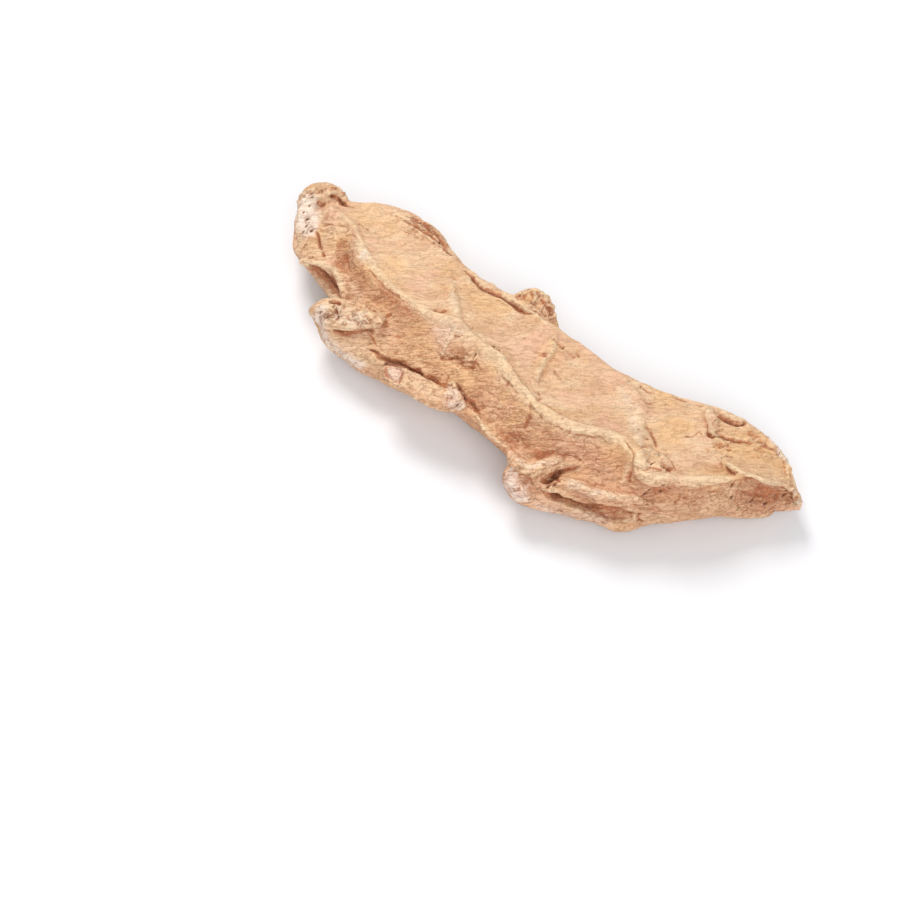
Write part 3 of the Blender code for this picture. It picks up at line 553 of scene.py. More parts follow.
# Stains: the tint, its strength, its half-width in mm, and the pixels that it follows. Those of the
# dark tint are painted shade in hollows and creases.
STAINS = [
    ("rough", 0.8, 1.0, [(408, 214), (425, 224), (440, 238), (448, 248)]),
    ("rough", 0.8, 1.3, [(766, 434), (779, 452), (789, 474), (796, 496), (797, 506)]),
    ("rough", 0.7, 1.5, [(745, 436), (760, 446), (772, 462)]),
    ("rough", 0.6, 1.2, [(388, 212), (410, 225), (436, 242)]),
    ("rose", 0.8, 2.0, [(512, 478), (530, 500), (570, 515)]),
    ("rose", 0.6, 1.5, [(600, 498), (640, 503)]),
    ("rust", 0.6, 1.0, [(655, 490), (680, 489), (720, 488)]),
    ("rust", 0.7, 0.8, [(742, 430), (756, 436), (768, 450)]),
    ("rust", 0.7, 1.3, [(514, 298), (526, 296)]),
    ("rose", 1.0, 1.5, [(543, 300), (552, 312), (556, 324)]),
    ("chalk", 1.0, 2.0, [(309, 194), (305, 208), (304, 222), (304, 236)]),
    ("chalk", 0.6, 1.2, [(362, 250), (367, 260)]),
    ("pale", 1.0, 1.1, FIRST_RING_LINE),
    ("chalk", 0.3, 1.0, FIRST_RING_LINE),
    ("chalk", 0.3, 1.4, [(450, 325), (468, 334)]),
    ("ochre", 0.8, 1.6, [(556, 338), (553, 350), (545, 361), (540, 378)]),
    ("chalk", 0.35, 1.6, THIRD_RING_LINE),
    ("pale", 0.9, 1.8, THIRD_RING_LINE),
    ("ochre", 0.6, 1.5, [(643, 458), (660, 460)]),
    ("rose", 1.0, 0.9, [(708, 412), (710, 422), (714, 430)]),
    ("mauve", 0.8, 1.4, [(317, 310), (320, 325), (328, 342)]),
    ("chalk", 0.8, 1.6, [(315, 328), (328, 344), (345, 358), (368, 364)]),
    ("chalk", 0.5, 1.6, [(330, 312), (350, 318), (372, 318)]),
    ("mauve", 0.7, 1.2, [(528, 503), (556, 512), (590, 520), (615, 526)]),
    ("chalk", 0.4, 1.2, [(440, 400), (455, 398)]),
    ("mauve", 0.9, 1.8, [(508, 468), (510, 482), (518, 493), (532, 501)]),
    ("pale", 0.8, 1.5, [(510, 486), (530, 502), (556, 511), (590, 519), (615, 525)]),
    ("chalk", 0.8, 1.5, [(505, 474), (512, 490), (528, 502)]),
    ("pale", 0.9, 1.3, [(512, 456), (522, 468), (538, 473), (556, 466), (575, 464)]),
    ("chalk", 0.9, 0.7, [(791, 487), (796, 505)]),
    ("chalk", 0.8, 0.6, [(766, 433), (779, 449), (788, 468)]),
    ("pale", 0.8, 1.2, [(645, 473), (670, 474), (700, 479), (728, 480)]),
    ("pale", 0.7, 1.3, [(545, 410), (568, 427), (592, 434)]),
    ("pale", 0.7, 1.0, [(505, 367), (511, 380)]),
    ("pale", 0.5, 1.6, [(320, 232), (345, 232)]),
    ("brown", 0.9, 1.5, [(334, 262), (346, 263)]),
    ("brown", 0.6, 0.9, [(327, 212), (327, 220)]),
    ("brown", 0.9, 1.1, [(408, 219), (422, 226), (438, 242)]),
    ("brown", 0.6, 2.4, [(640, 490), (670, 497), (710, 498)]),
    ("brown", 0.7, 2.0, [(745, 494), (765, 497), (783, 499)]),
    ("brown", 0.8, 1.3, [(575, 503), (600, 510), (625, 516)]),
    ("brown", 0.5, 2.0, [(395, 310), (420, 330)]),
    ("brown", 0.6, 1.2, [(560, 352), (575, 360)]),
    ("brown", 0.6, 1.0, [(690, 466), (722, 466)]),
    ("rust", 1.0, 1.4, [(317, 272), (328, 281), (336, 292)]),
    ("dark", 0.3, 0.7, [(328, 282), (335, 291)]),
    ("rust", 0.8, 0.8, [(411, 219), (424, 227), (437, 240)]),
    ("rust", 0.7, 0.9, [(504, 434), (514, 440)]),
    ("rust", 0.7, 1.2, [(645, 487), (665, 490)]),
    ("rust", 0.8, 1.6, [(750, 492), (782, 498)]),
    ("rust", 0.7, 1.0, [(342, 254), (345, 264)]),
    ("rust", 0.6, 0.8, [(470, 276), (486, 290)]),
    ("rust", 0.6, 0.8, [(528, 304), (546, 318)]),
    ("rust", 0.6, 1.0, [(534, 452), (556, 452)]),
    ("ochre", 0.7, 2.2, [(325, 240), (350, 245)]),
    ("ochre", 0.6, 1.5, [(445, 262), (455, 268)]),
    ("ochre", 0.7, 2.0, [(524, 405), (524, 415)]),
    ("ochre", 0.8, 2.4, [(735, 435), (765, 450)]),
    ("ochre", 0.8, 1.2, [(784, 472), (787, 480)]),
    ("ochre", 0.8, 1.5, [(520, 298), (535, 300)]),
    ("ochre", 0.6, 3.0, [(360, 290), (400, 320), (430, 355)]),
    ("rose", 0.7, 2.0, [(428, 270), (436, 276)]),
    ("rose", 0.6, 1.8, [(540, 328), (550, 333)]),
    ("rose", 0.7, 2.2, [(505, 400), (512, 415)]),
    ("rose", 0.5, 3.0, [(330, 340), (355, 345)]),
    ("rose", 0.5, 2.5, [(612, 480), (600, 470)]),
    ("rough", 0.5, 2.0, [(318, 312), (345, 315), (372, 321)]),
    ("rough", 1.0, 2.0, [(299, 228), (300, 200), (312, 190), (330, 188), (346, 194)]),
    ("rough", 1.0, 3.0, [(520, 298), (536, 294), (548, 304), (556, 322)]),
    ("rough", 0.9, 2.2, [(705, 430), (725, 450)]),
    ("rough", 0.8, 1.5, [(440, 402), (458, 400)]),
    ("fibre", 0.9, 1.5, [(408, 216), (424, 226), (440, 241)]),
    ("rust", 0.9, 1.4, [(408, 215), (424, 225), (440, 239), (448, 250)]),
    ("pale", 0.8, 0.9, [(480, 337), (497, 357), (512, 378), (531, 399)]),
    ("pale", 0.8, 0.9, [(553, 418), (580, 429), (608, 434), (629, 450)]),
    ("pale", 0.9, 2.2, [(316, 334), (335, 350), (356, 362)]),
    ("dark", 0.6, 0.6, [(572, 504), (590, 510), (606, 513)]),
    ("brown", 0.6, 1.0, [(560, 498), (590, 509), (622, 514)]),
    ("ochre", 0.8, 1.6, [(335, 312), (360, 314), (382, 320)]),
    ("rose", 0.6, 1.6, [(560, 488), (600, 493), (640, 500)]),
    ("rust", 0.7, 0.7, [(546, 484), (556, 480)]),
    ("brown", 0.6, 1.6, [(708, 424), (716, 432)]),
    ("pale", 0.6, 1.0, [(352, 224), (366, 252), (390, 284), (420, 308)]),
    ("rust", 0.9, 0.9, [(785, 492), (792, 499)]),
    ("chalk", 0.9, 0.5, [(796, 499), (799, 506)]),
    ("rust", 0.7, 1.1, [(369, 270), (392, 296), (424, 317)]),
    ("dark", 0.35, 0.9, [(420, 222), (434, 232), (445, 245)]),
    ("chalk", 0.7, 1.4, [(508, 466), (508, 480), (516, 492)]),
    ("rust", 0.6, 1.2, [(643, 488), (655, 490), (668, 490)]),
    ("rose", 0.7, 3.0, [(545, 445), (575, 452), (605, 465)]),
    ("ochre", 0.7, 3.0, [(410, 335), (440, 365), (480, 395)]),
    ("chalk", 0.9, 1.6, [(317, 309), (321, 314), (320, 326)]),
    ("ochre", 0.8, 1.2, [(516, 462), (530, 469), (548, 462), (565, 460)]),
    ("chalk", 0.5, 0.9, [(514, 454), (528, 466), (546, 461), (562, 459)]),
    ("chalk", 0.4, 0.9, [(560, 482), (590, 491), (620, 496)]),
]

# The tints that marks leave on the skin; the dark tint is painted shade in creases, pits and hollows.
TINTS = ("chalk", "pale", "mauve", "brown", "rust", "ochre", "rose", "dark", "rough", "fibre")

# Tints that show the skin's own relief, as painted shade in what lies low and painted highlight on what
# stands up: passes of easing, and the height in mm that gives the full tint.
RELIEF_SHADE_AND_HIGHLIGHT = {"fine": (3, 0.06), "broad": (30, 0.35)}

# How brown the near side is at places along X in mm: partly its own browner colour, partly painted shade.
LEE_PLACES = (-40, -25, -8, 10, 24, 42)
LEE_BROWN_AND_SHADE = (0.1, 0.25, 0.75, 0.9, 0.55, 0.5)

# How far a point may stand out sharply from the skin round it, in mm.
SPIKE = 0.12

# The way the fibres run: on the far side of the crest, on its near side, and low on the back.
UPPER_GRAIN = (0.74, 0.69, -0.27)
LOWER_GRAIN = (0.94, 0.39, 0.35)
BACK_GRAIN = (0.99, 0.1, 0.0)

# How far the wrinkles wander from the grain, widely and finely: shift and width in mm, and random seeds.
WANDERS = ((1.1, 5.0, (11, 12, 13)), (0.35, 1.6, (14, 15, 16)))

# How the edges of the marks wander, in the same way.
WARP = (0.25, 1.5, (1, 2, 3))

# Sizes in mm of the wrinkles: length and width of those along the grain, and the width of the others.
FURROW_SIZE = (8.0, 3.0)
CRINKLE_SIZE = (2.6, 1.3)
BACK_FOLD_SIZE = (10.0, 2.2)
SWELL_WIDTH = 5.0
BREAK_WIDTH = 1.7
UNEVEN_WIDTH = 6.5

# The body's ends: how far out each closing ring is, and their depth in mm. Its corners are rounded as by
# this many averaging passes where a panel has this many points.
END_RINGS = (0.35, 0.65, 0.88, 0.99)
END_DEPTH = 0.8
CORNER_PASSES = 4
CORNER_POINTS = 14

# A strand's circles between two points of its path, its least radius in mm, and the angles of the circles
# that round its ends.
STRAND_STEPS = 8
LEAST_RADIUS = 0.15
STRAND_ENDS = np.radians([[84.0], [60.0], [30.0]])

# A mark's path: its places between two pixels, and how quickly it thins at its ends, to what share.
PATH_STEPS = 6
TAPER = 6
THINNEST = 0.25

# Lattice noise: its number of slopes, the factors that pick one for a place, and the gain to reach 1.
SLOPES = 512
SLOPE_FACTORS = (73856093, 19349663, 83492791)
NOISE_GAIN = 1.6


def smooth_through(points, count):
    """Count points on the Catmull-Rom curve through the given ones, whose ends it reaches."""
    known = np.asarray(points, float)
    padded = np.concatenate([2 * known[:1] - known[1:2], known, 2 * known[-1:] - known[-2:-1]])
    place = np.linspace(0.0, len(known) - 1.0, count)
    span = np.minimum(place.astype(int), len(known) - 2)
    t = (place - span)[:, None]
    before, start, end, after = (padded[span + step] for step in range(4))
    return 0.5 * (
        2 * start
        + (end - before) * t
        + (2 * before - 5 * start + 4 * end - after) * t**2
        + (3 * start - before - 3 * end + after) * t**3
    )


def unit(vectors):
    """The vectors at length one."""
    return vectors / np.maximum(np.linalg.norm(vectors, axis=-1, keepdims=True), 1e-12)


def domed_end(ring, way):
    """Rings that close an end: the ring shrinks about its middle by a quarter circle while it moves out
    along X."""
    share = np.array(END_RINGS)[:, None, None]
    middle, depth = ring.mean(axis=0), np.array([END_DEPTH * way, 0.0, 0.0])
    return middle + (ring - middle) * np.sqrt(1 - share**2) + share * depth


def body_rings(stations, panel_points):
    """The body: along it, smooth curves through the edges' points; round it, a straight line from edge to
    edge plus a parabola of the panel's bulge, its corners rounded by averaging; cut off by the scar."""
    edges = np.stack([smooth_through(edge, stations) for edge in EDGES], axis=1)
    share = np.linspace(0.0, 1.0, panel_points, endpoint=False)[None, :, None]
    panels = []
    for number, bulge in enumerate(PANEL_BULGE):
        first = edges[:, number][:, None]
        chord = np.roll(edges, -1, axis=1)[:, number][:, None] - first
        outward = unit(np.cross(chord, (1.0, 0.0, 0.0)))
        panels.append(first + chord * share + outward * bulge * 4 * share * (1 - share))
    rings = np.concatenate(panels, axis=1)
    for _ in range(round(CORNER_PASSES * (panel_points / CORNER_POINTS) ** 2)):
        rings = (np.roll(rings, 1, axis=1) + 2 * rings + np.roll(rings, -1, axis=1)) / 4
    rings = np.concatenate([domed_end(rings[0], -1.0)[::-1], rings, domed_end(rings[-1], 1.0)])
    ahead = (rings - SCAR_POINT) @ SCAR_NORMAL
    return rings - np.maximum(ahead, 0.0)[..., None] * SCAR_NORMAL


def strand_rings(points, sides):
    """A round strand: circles of the path's radius, square to the path, closed by half spheres."""
    path = smooth_through(points, STRAND_STEPS * len(points))
    centre, radius = path[:, :3], np.maximum(path[:, 3:], LEAST_RADIUS)
    run = unit(np.gradient(centre, axis=0))
    first, last, more = STRAND_ENDS, STRAND_ENDS[::-1], len(STRAND_ENDS)
    centre = np.concatenate([
        centre[:1] - run[:1] * radius[:1] * np.sin(first),
        centre,
        centre[-1:] + run[-1:] * radius[-1:] * np.sin(last),
    ])
    radius = np.concatenate([radius[:1] * np.cos(first), radius, radius[-1:] * np.cos(last)])
    run = np.concatenate([run[:1].repeat(more, axis=0), run, run[-1:].repeat(more, axis=0)])
    side = unit(np.cross(run, (0.0, 0.0, 1.0)))
    lift = np.cross(side, run)
    turn = np.linspace(0.0, 2 * np.pi, sides, endpoint=False)[None, :, None]
    circle = np.cos(turn) * side[:, None] + np.sin(turn) * lift[:, None]
    return centre[:, None] + radius[:, None] * circle


def closed_tube(rings):
    """Points and triangles of a tube whose ends are closed by fans, with its faces outwards."""
    rows, columns = rings.shape[:2]
    points = np.concatenate([rings.reshape(-1, 3), rings[:1].mean(axis=1), rings[-1:].mean(axis=1)])
    here = np.arange(rows * columns).reshape(rows, columns)
    beside = np.roll(here, -1, axis=1)
    quads = np.stack([here[:-1], beside[:-1], beside[1:], here[1:]], axis=-1).reshape(-1, 4)
    first_fan = np.stack([np.full(columns, rows * columns), beside[0], here[0]], axis=-1)
    last_fan = np.stack([np.full(columns, rows * columns + 1), here[-1], beside[-1]], axis=-1)
    triangles = np.concatenate([quads[:, [0, 1, 2]], quads[:, [0, 2, 3]], first_fan, last_fan])
    corner = points[triangles]
    volume = np.einsum("ij,ij->", corner[:, 0], np.cross(corner[:, 1], corner[:, 2]))
    return points, triangles if volume > 0 else triangles[:, ::-1]


def new_mesh(name, points, faces):
    """A mesh of the given points and faces, which all have the same number of corners."""
    corners = faces.shape[1]
    mesh = bpy.data.meshes.new(name)
    mesh.vertices.add(len(points))
    mesh.vertices.foreach_set("co", points.astype(np.float32).ravel())
    mesh.loops.add(faces.size)
    mesh.loops.foreach_set("vertex_index", faces.astype(np.int32).ravel())
    mesh.polygons.add(len(faces))
    mesh.polygons.foreach_set("loop_start", np.arange(0, faces.size, corners, dtype=np.int32))
    mesh.update(calc_edges=True)
    mesh.validate()
    return mesh


def read(collection, field, width, kind):
    """One field of a mesh's points, edges or loops as an array."""
    values = np.empty(len(collection) * width, kind)
    collection.foreach_get(field, values)
    return values.reshape(-1, width) if width > 1 else values


def fused(tubes, voxel):
    """One closed skin round all the tubes, as the even quads of a voxel grid: points, quads and edges."""
    offsets = np.cumsum([0] + [len(points) for points, _ in tubes[:-1]])
    points = np.concatenate([points for points, _ in tubes])
    faces = np.concatenate([faces + offset for (_, faces), offset in zip(tubes, offsets)])
    helper = bpy.data.objects.new("unfused", new_mesh("unfused", points, faces))
    bpy.context.scene.collection.objects.link(helper)
    remesh = helper.modifiers.new("fuse", "REMESH")
    remesh.mode = "VOXEL"
    remesh.voxel_size = voxel
    bpy.context.view_layer.update()
    made = bpy.data.meshes.new_from_object(helper.evaluated_get(bpy.context.evaluated_depsgraph_get()))
    bpy.data.objects.remove(helper)
    result = (
        read(made.vertices, "co", 3, np.float32).astype(float),
        read(made.loops, "vertex_index", 1, np.int32).reshape(-1, 4),
        read(made.edges, "vertices", 2, np.int32),
    )
    bpy.data.meshes.remove(made)
    return result


def averaged(values, edges):
    """Each point's mean of its neighbours' values."""
    count = len(values)
    ends = np.concatenate([edges[:, 0], edges[:, 1]])
    others = np.concatenate([edges[:, 1], edges[:, 0]])
    degree = np.maximum(np.bincount(ends, minlength=count), 1)
    columns = values.reshape(count, -1)
    sums = [np.bincount(ends, weights=column[others], minlength=count) for column in columns.T]
    return (np.stack(sums, axis=-1) / degree[:, None]).reshape(values.shape)


def relaxed(values, edges, passes, strength=0.5):
    """The values after each has moved part of the way to its neighbours' mean, several times over."""
    for _ in range(passes):
        values = values + strength * (averaged(values, edges) - values)
    return values


def facing(points, quads):
    """Each point's outward direction, the mean of its faces' normals."""
    corner = points[quads]
    across = np.cross(corner[:, 2] - corner[:, 0], corner[:, 3] - corner[:, 1])
    at, count = quads.ravel(), len(points)
    sums = [np.bincount(at, weights=part.repeat(4), minlength=count) for part in across.T]
    return unit(np.stack(sums, axis=-1))


def lattice_noise(places, seed):
    """Smooth noise from -1 to 1: a fixed random slope at each whole-number corner of space, and a smooth
    fifth-power blend of the heights that the eight corners' slopes give between them."""
    slopes = unit(np.random.default_rng(seed).normal(size=(SLOPES, 3)))
    cell = np.floor(places).astype(np.int64)
    inside = places - cell
    blend = inside**3 * (inside * (inside * 6 - 15) + 10)
    total = np.zeros(len(places))
    for corner in np.ndindex(2, 2, 2):
        at = cell + corner
        pick = np.bitwise_xor.reduce(at * SLOPE_FACTORS, axis=1) % SLOPES
        weight = np.prod(np.where(corner, blend, 1 - blend), axis=1)
        total += weight * np.einsum("ij,ij->i", slopes[pick], inside - corner)
    return NOISE_GAIN * total


def clouds(places, seed, octaves=2):
    """Lattice noise added up at doubling fineness and halving strength."""
    layers = [lattice_noise(places * 2**step, seed + step) / 2**step for step in range(octaves)]
    return sum(layers) / (2 - 0.5 ** (octaves - 1))


def furrows(places, seed, octaves=3, steepness=9):
    """Sharp-edged valleys: 0 on broad crowns down to -1 in narrow lines where lattice noise crosses zero,
    as minus the exponential of how far it is from zero."""
    total = np.zeros(len(places))
    for step in range(octaves):
        away = np.abs(lattice_noise(places * 2**step, seed + step))
        total -= np.exp(-steepness * away) / 2**step
    return total / (2 - 0.5 ** (octaves - 1))


def ridges(places, seed, octaves=3, steepness=2.2, sharpness=1.5, least=0.4):
    """A net of sharp crests, about 0.5 on them down to -0.5, where lattice noise crosses zero; each finer
    layer is stronger on the crests of the one before, and has its least share between them."""
    total = np.zeros(len(places))
    strength = 1.0
    for step in range(octaves):
        away = np.abs(lattice_noise(places * 2**step, seed + step))
        layer = (1 - np.minimum(steepness * away, 1.0)) ** sharpness
        total += layer * strength / 2**step
        strength = least + (1 - least) * layer
    return 0.8 * total - 0.5


def wander(points, shift, width, seeds):
    """A shift of each point along X, Y and Z by three lattice noises of one width."""
    return shift * np.stack([lattice_noise(points / width, seed) for seed in seeds], axis=-1)


def along_grain(points, run, length, width):
    """Places for noise that is drawn out along the grain: lengths along it and across it."""
    run = unit(np.array(run, float))
    across = unit(np.cross((0.0, 0.0, 1.0), run))
    lift = np.cross(run, across)
    return np.stack([points @ run / length, points @ across / width, points @ lift / width], axis=-1)


def nearness(points, path, width, sharpness=2.0):
    """How near each point is to a path: 1 on it, falling off as the exponential of a power of its
    distance over the width, and thinner at the path's ends."""
    reach = 3.0 * width
    low, high = path.min(axis=0) - reach, path.max(axis=0) + reach
    near = np.nonzero(np.all((points > low) & (points < high), axis=1))[0]
    amount = np.zeros(len(points))
    if not len(near):
        return amount
    start, step = path[:-1], np.diff(path, axis=0)
    length2 = np.maximum((step**2).sum(axis=1), 1e-9)
    away = points[near][:, None] - start
    share = np.clip((away * step).sum(axis=2) / length2, 0.0, 1.0)
    distance = np.linalg.norm(away - share[..., None] * step, axis=2)
    nearest = distance.argmin(axis=1)
    place = (nearest + share[np.arange(len(near)), nearest]) / len(step)
    taper = np.clip(np.minimum(place, 1 - place) * TAPER, THINNEST, 1.0)
    amount[near] = np.exp(-((distance.min(axis=1) / (width * taper)) ** sharpness)) * np.sqrt(taper)
    return amount


def on_skin(pixels, tree):
    """A line on the skin, as a smooth curve: where it is met by the camera's rays through the pixels, or
    where it is nearest to a ray that passes just beside it, taken half way up the root."""
    half_height = 6.0
    met = []
    for x, y in pixels:
        across, rise = (x - PICTURE / 2) / PICTURE, (PICTURE / 2 - y) / PICTURE
        ray = (RIGHT * across + UP * rise) * SENSOR / LENS - BACK
        place = tree.ray_cast(Vector(EYE), Vector(ray))[0]
        if not place:
            place = tree.find_nearest(Vector(EYE + ray * (half_height - EYE[2]) / ray[2]))[0]
        met.append(place[:])
    return smooth_through(met, PATH_STEPS * len(met))


def inside_outline(points, out, outline, *edges):
    """For each width of edge: 1 for points that the camera sees inside the outline, 0 outside it, and a
    smooth step as wide as the edge between them, fading out where the skin turns away."""
    away = points - EYE
    scale = PICTURE * LENS / SENSOR / -(away @ BACK)
    seen = PICTURE / 2 + np.stack([away @ RIGHT * scale, -(away @ UP) * scale], axis=-1)
    corners = np.array(outline, float)
    reach = 20.0
    near = np.nonzero(
        np.all((seen > corners.min(axis=0) - reach) & (seen < corners.max(axis=0) + reach), axis=1)
        & (out @ BACK > 0.0)
    )[0]
    start, step = corners, np.roll(corners, -1, axis=0) - corners
    offset = seen[near][:, None] - start
    share = np.clip((offset * step).sum(axis=2) / (step**2).sum(axis=1), 0.0, 1.0)
    distance = np.linalg.norm(offset - share[..., None] * step, axis=2).min(axis=1)
    above = offset[..., 1] < 0
    crossing = above != np.roll(above, -1, axis=1)
    side = step[:, 0] * offset[..., 1] - step[:, 1] * offset[..., 0]
    odd = np.sum(crossing & ((side > 0) == (step[:, 1] > 0)), axis=1) % 2
    signed = np.where(odd == 1, distance, -distance) / scale[near]
    amounts = np.zeros((len(edges), len(points)))
    for amount, edge in zip(amounts, edges):
        level = np.clip(0.5 + signed / edge, 0.0, 1.0)
        amount[near] = level * level * (3 - 2 * level) * np.clip(3 * (out[near] @ BACK), 0.0, 1.0)
    return amounts


def wrinkled(points, out, rough):
    """How far drying has raised or sunk each point: furrows along the grain and small crinkles that lean
    the same way; long folds on the back; soft swells in no direction; and a net of crests where the
    skin is rough."""
    sizes = bpy.context.scene.ginger_shape
    moved = points + sum(wander(points, *how) for how in WANDERS)
    # From 0 to 1: what faces the far side, and what doesn't face the near side. Then an uneven strength.
    back = np.clip(2.5 * (out[:, 1] - 0.45), 0.0, 1.0)
    upper = np.clip(0.5 + 2.0 * (out[:, 1] + 0.1), 0.0, 1.0)
    patchy = np.clip(0.6 + 0.9 * lattice_noise(points / UNEVEN_WIDTH, seed=17), 0.15, 1.3)
    height = np.zeros(len(points))
    for share, grain, seed in ((0.6 * upper, UPPER_GRAIN, 20), (1 - upper, LOWER_GRAIN, 30)):
        furrow = furrows(along_grain(moved, grain, *FURROW_SIZE), seed)
        crinkle = furrows(along_grain(moved, grain, *CRINKLE_SIZE), seed + 5, octaves=2)
        height += sizes.furrow * patchy * share * furrow
        height += sizes.crinkle * patchy * share * crinkle
    height += sizes.back_fold * back * furrows(along_grain(moved, BACK_GRAIN, *BACK_FOLD_SIZE), seed=40)
    height += sizes.swell * clouds(moved / SWELL_WIDTH, seed=61)
    height += sizes.breakage * rough * ridges(points / BREAK_WIDTH, seed=71)
    return height


def marked(points, out, tree):
    """How far the marks raise or sink each point, and the tints that they leave, from 0 to 1."""
    warp = wander(points, *WARP)
    height = np.zeros(len(points))
    tints = {name: np.zeros(len(points)) for name in TINTS}

    def stain(name, amount):
        """The tint raised to the amount where it is weaker."""
        tints[name] = np.maximum(tints[name], amount)

    def spot(x, y):
        """A path of a pixel's length on the skin."""
        return on_skin([(x, y), (x + 1, y + 1)], tree)

    # A crease is dark at its bottom, as painted shade, and rusty beside it, the more the deeper it is.
    for depth, width, pixels in CREASES.values():
        path = on_skin(pixels, tree)
        height -= depth * nearness(points + warp, path, width, sharpness=1.3)
        stain("dark", min(1.0, 0.2 + depth) * nearness(points + warp, path, 0.6 * width))
        stain("rust", min(1.0, 0.3 + depth) * nearness(points + 2 * warp, path, 1.8 * width, 1.5))
    for rise, width, pixels in RIBS.values():
        near = nearness(points + warp, on_skin(pixels, tree), width)
        height += rise * near
        stain("pale", near)
    for rise, edge, name, strength, outline in PATCHES.values():
        raised, tinted = inside_outline(points + warp, out, outline, edge, edge + TINT_EDGE)
        height += rise * raised
        stain(name, strength * tinted)
    # A pit is sunk, and dark in it as painted shade.
    for x, y, radius, depth in PITS:
        near = nearness(points + 0.5 * warp, spot(x, y), radius)
        height -= depth * near
        stain("dark", near)
    for x, y, radius, rise in BUMPS:
        near = nearness(points + warp, spot(x, y), radius)
        height += rise * near
        stain("pale", 0.7 * near)
    for name, strength, spread, pixels in STAINS:
        stain(name, strength * nearness(points + 2 * warp, on_skin(pixels, tree), spread))
    return height, tints


def without_spikes(points, edges):
    """The points, those that stand out sharply drawn back to a spike's height from their eased places."""
    eased = relaxed(points, edges, 2)
    offset = points - eased
    length = np.linalg.norm(offset, axis=1, keepdims=True)
    return eased + offset * np.minimum(1.0, SPIKE / np.maximum(length, SPIKE))


def skin_arrays():
    """The finished skin in millimetres of the drawing, with a value from 0 to 1 for each of its tints."""
    sizes = bpy.context.scene.ginger_shape
    tubes = [closed_tube(body_rings(sizes.stations, sizes.panel_points))]
    for strand in {**RIDGES, **LUMPS}.values():
        tubes.append(closed_tube(strand_rings(strand, sizes.strand_sides)))
    points, quads, edges = fused(tubes, sizes.voxel)
    points = relaxed(points, edges, sizes.seam_passes)
    out = facing(points, quads)

    tree = BVHTree.FromPolygons(points.tolist(), quads.tolist())
    height, tints = marked(points, out, tree)
    points = points + height[:, None] * out
    out = facing(points, quads)
    points = points + wrinkled(points, out, tints["rough"])[:, None] * out
    points = without_spikes(points, edges)
    points[:, 2] = np.maximum(points[:, 2], 0.0)
    out = facing(points, quads)
    # Painted shade and painted highlight from the skin's relief.
    for name, (passes, full) in RELIEF_SHADE_AND_HIGHLIGHT.items():
        rise = np.einsum("ij,ij->i", points - relaxed(points, edges, passes), out)
        tints[name] = np.clip(0.5 + 0.5 * rise / full, 0.0, 1.0)
    # The near side, and its brown that is partly painted shade.
    tints["near"], tints["near_brown_and_shade"] = near_side(points, out)
    return points, quads, tints


def near_side(points, out):
    """1 below the crest on the near side, and how brown the skin is there: as LEE_BROWN_AND_SHADE says
    along it, and less where it faces up. The brown is partly the skin's own colour and partly painted
    shade where the near side faces away from the light."""
    crest = np.array(CREST)
    beyond = np.interp(points[:, 0], crest[:, 0], crest[:, 1]) - points[:, 1]
    along = np.interp(points[:, 0], LEE_PLACES, LEE_BROWN_AND_SHADE)
    near = np.clip(beyond / 1.5, 0.0, 1.0)
    return near, along * near * np.clip(1.2 - out[:, 2] ** 4, 0.3, 1.0)


def inside_box(points):
    """The points in metres about the origin, none of them outside the box of the part's solid."""
    low, high = (np.array(corner) for corner in CAD_BOX)
    return np.clip((points - ORIGIN) * MM, low, high)


def tone(red, green, blue):
    """A colour given as it looks on a screen, 0 to 255, as light values, by the sRGB standard's curve."""
    shown = np.array([red, green, blue]) / 255
    light = np.where(shown <= 0.04045, shown / 12.92, ((shown + 0.055) / 1.055) ** 2.4)
    return tuple(light.tolist())


def add_node(tree, kind, inputs=None, **settings):
    """A shader node with the given settings, its inputs linked to sockets or set to values."""
    node = tree.nodes.new(kind)
    for name, value in settings.items():
        setattr(node, name, value)
    for name, value in (inputs or {}).items():
        if isinstance(value, bpy.types.NodeSocket):
            tree.links.new(value, node.inputs[name])
        else:
            node.inputs[name].default_value = value
    return node


def blended(tree, amount, base, top):
    """The top colour laid over the base by an amount; either is a socket or three light values."""
    socket = bpy.types.NodeSocket
    colours = [value if isinstance(value, socket) else (*value, 1.0) for value in (base, top)]
    inputs = {0: amount, 6: colours[0], 7: colours[1]}
    return add_node(tree, "ShaderNodeMix", inputs, data_type="RGBA").outputs[2]


def stepped(tree, value, low, high):
    """0 at low, 1 at high and beyond, and a smooth rise between them."""
    limits = {"Value": value, "From Min": low, "From Max": high}
    return add_node(tree, "ShaderNodeMapRange", limits, interpolation_type="SMOOTHSTEP").outputs["Result"]


def times(tree, first, second):
    """The product of two values."""
    return add_node(tree, "ShaderNodeMath", {0: first, 1: second}, operation="MULTIPLY").outputs[0]


def plus(tree, first, second):
    """The sum of two values."""
    return add_node(tree, "ShaderNodeMath", {0: first, 1: second}, operation="ADD").outputs[0]


def tint(tree, name):
    """One of the values that the skin carries at each point."""
    return add_node(tree, "ShaderNodeAttribute", attribute_name=name).outputs["Fac"]


def grained_noise(tree, turn, length, width, detail, roughness):
    """Noise drawn out along the grain: the place in the object turned back by the grain's three turns and
    divided by the grain's length, width and width, in mm."""
    place = add_node(tree, "ShaderNodeTexCoord").outputs["Object"]
    turned = add_node(tree, "ShaderNodeMapping", {
        "Vector": place, "Rotation": turn, "Scale": (length * MM, width * MM, width * MM),
    }, vector_type="TEXTURE").outputs["Vector"]
    noise = add_node(tree, "ShaderNodeTexNoise", {
        "Vector": turned, "Scale": 1.0, "Detail": detail, "Roughness": roughness,
    })
    return noise.outputs["Fac"]


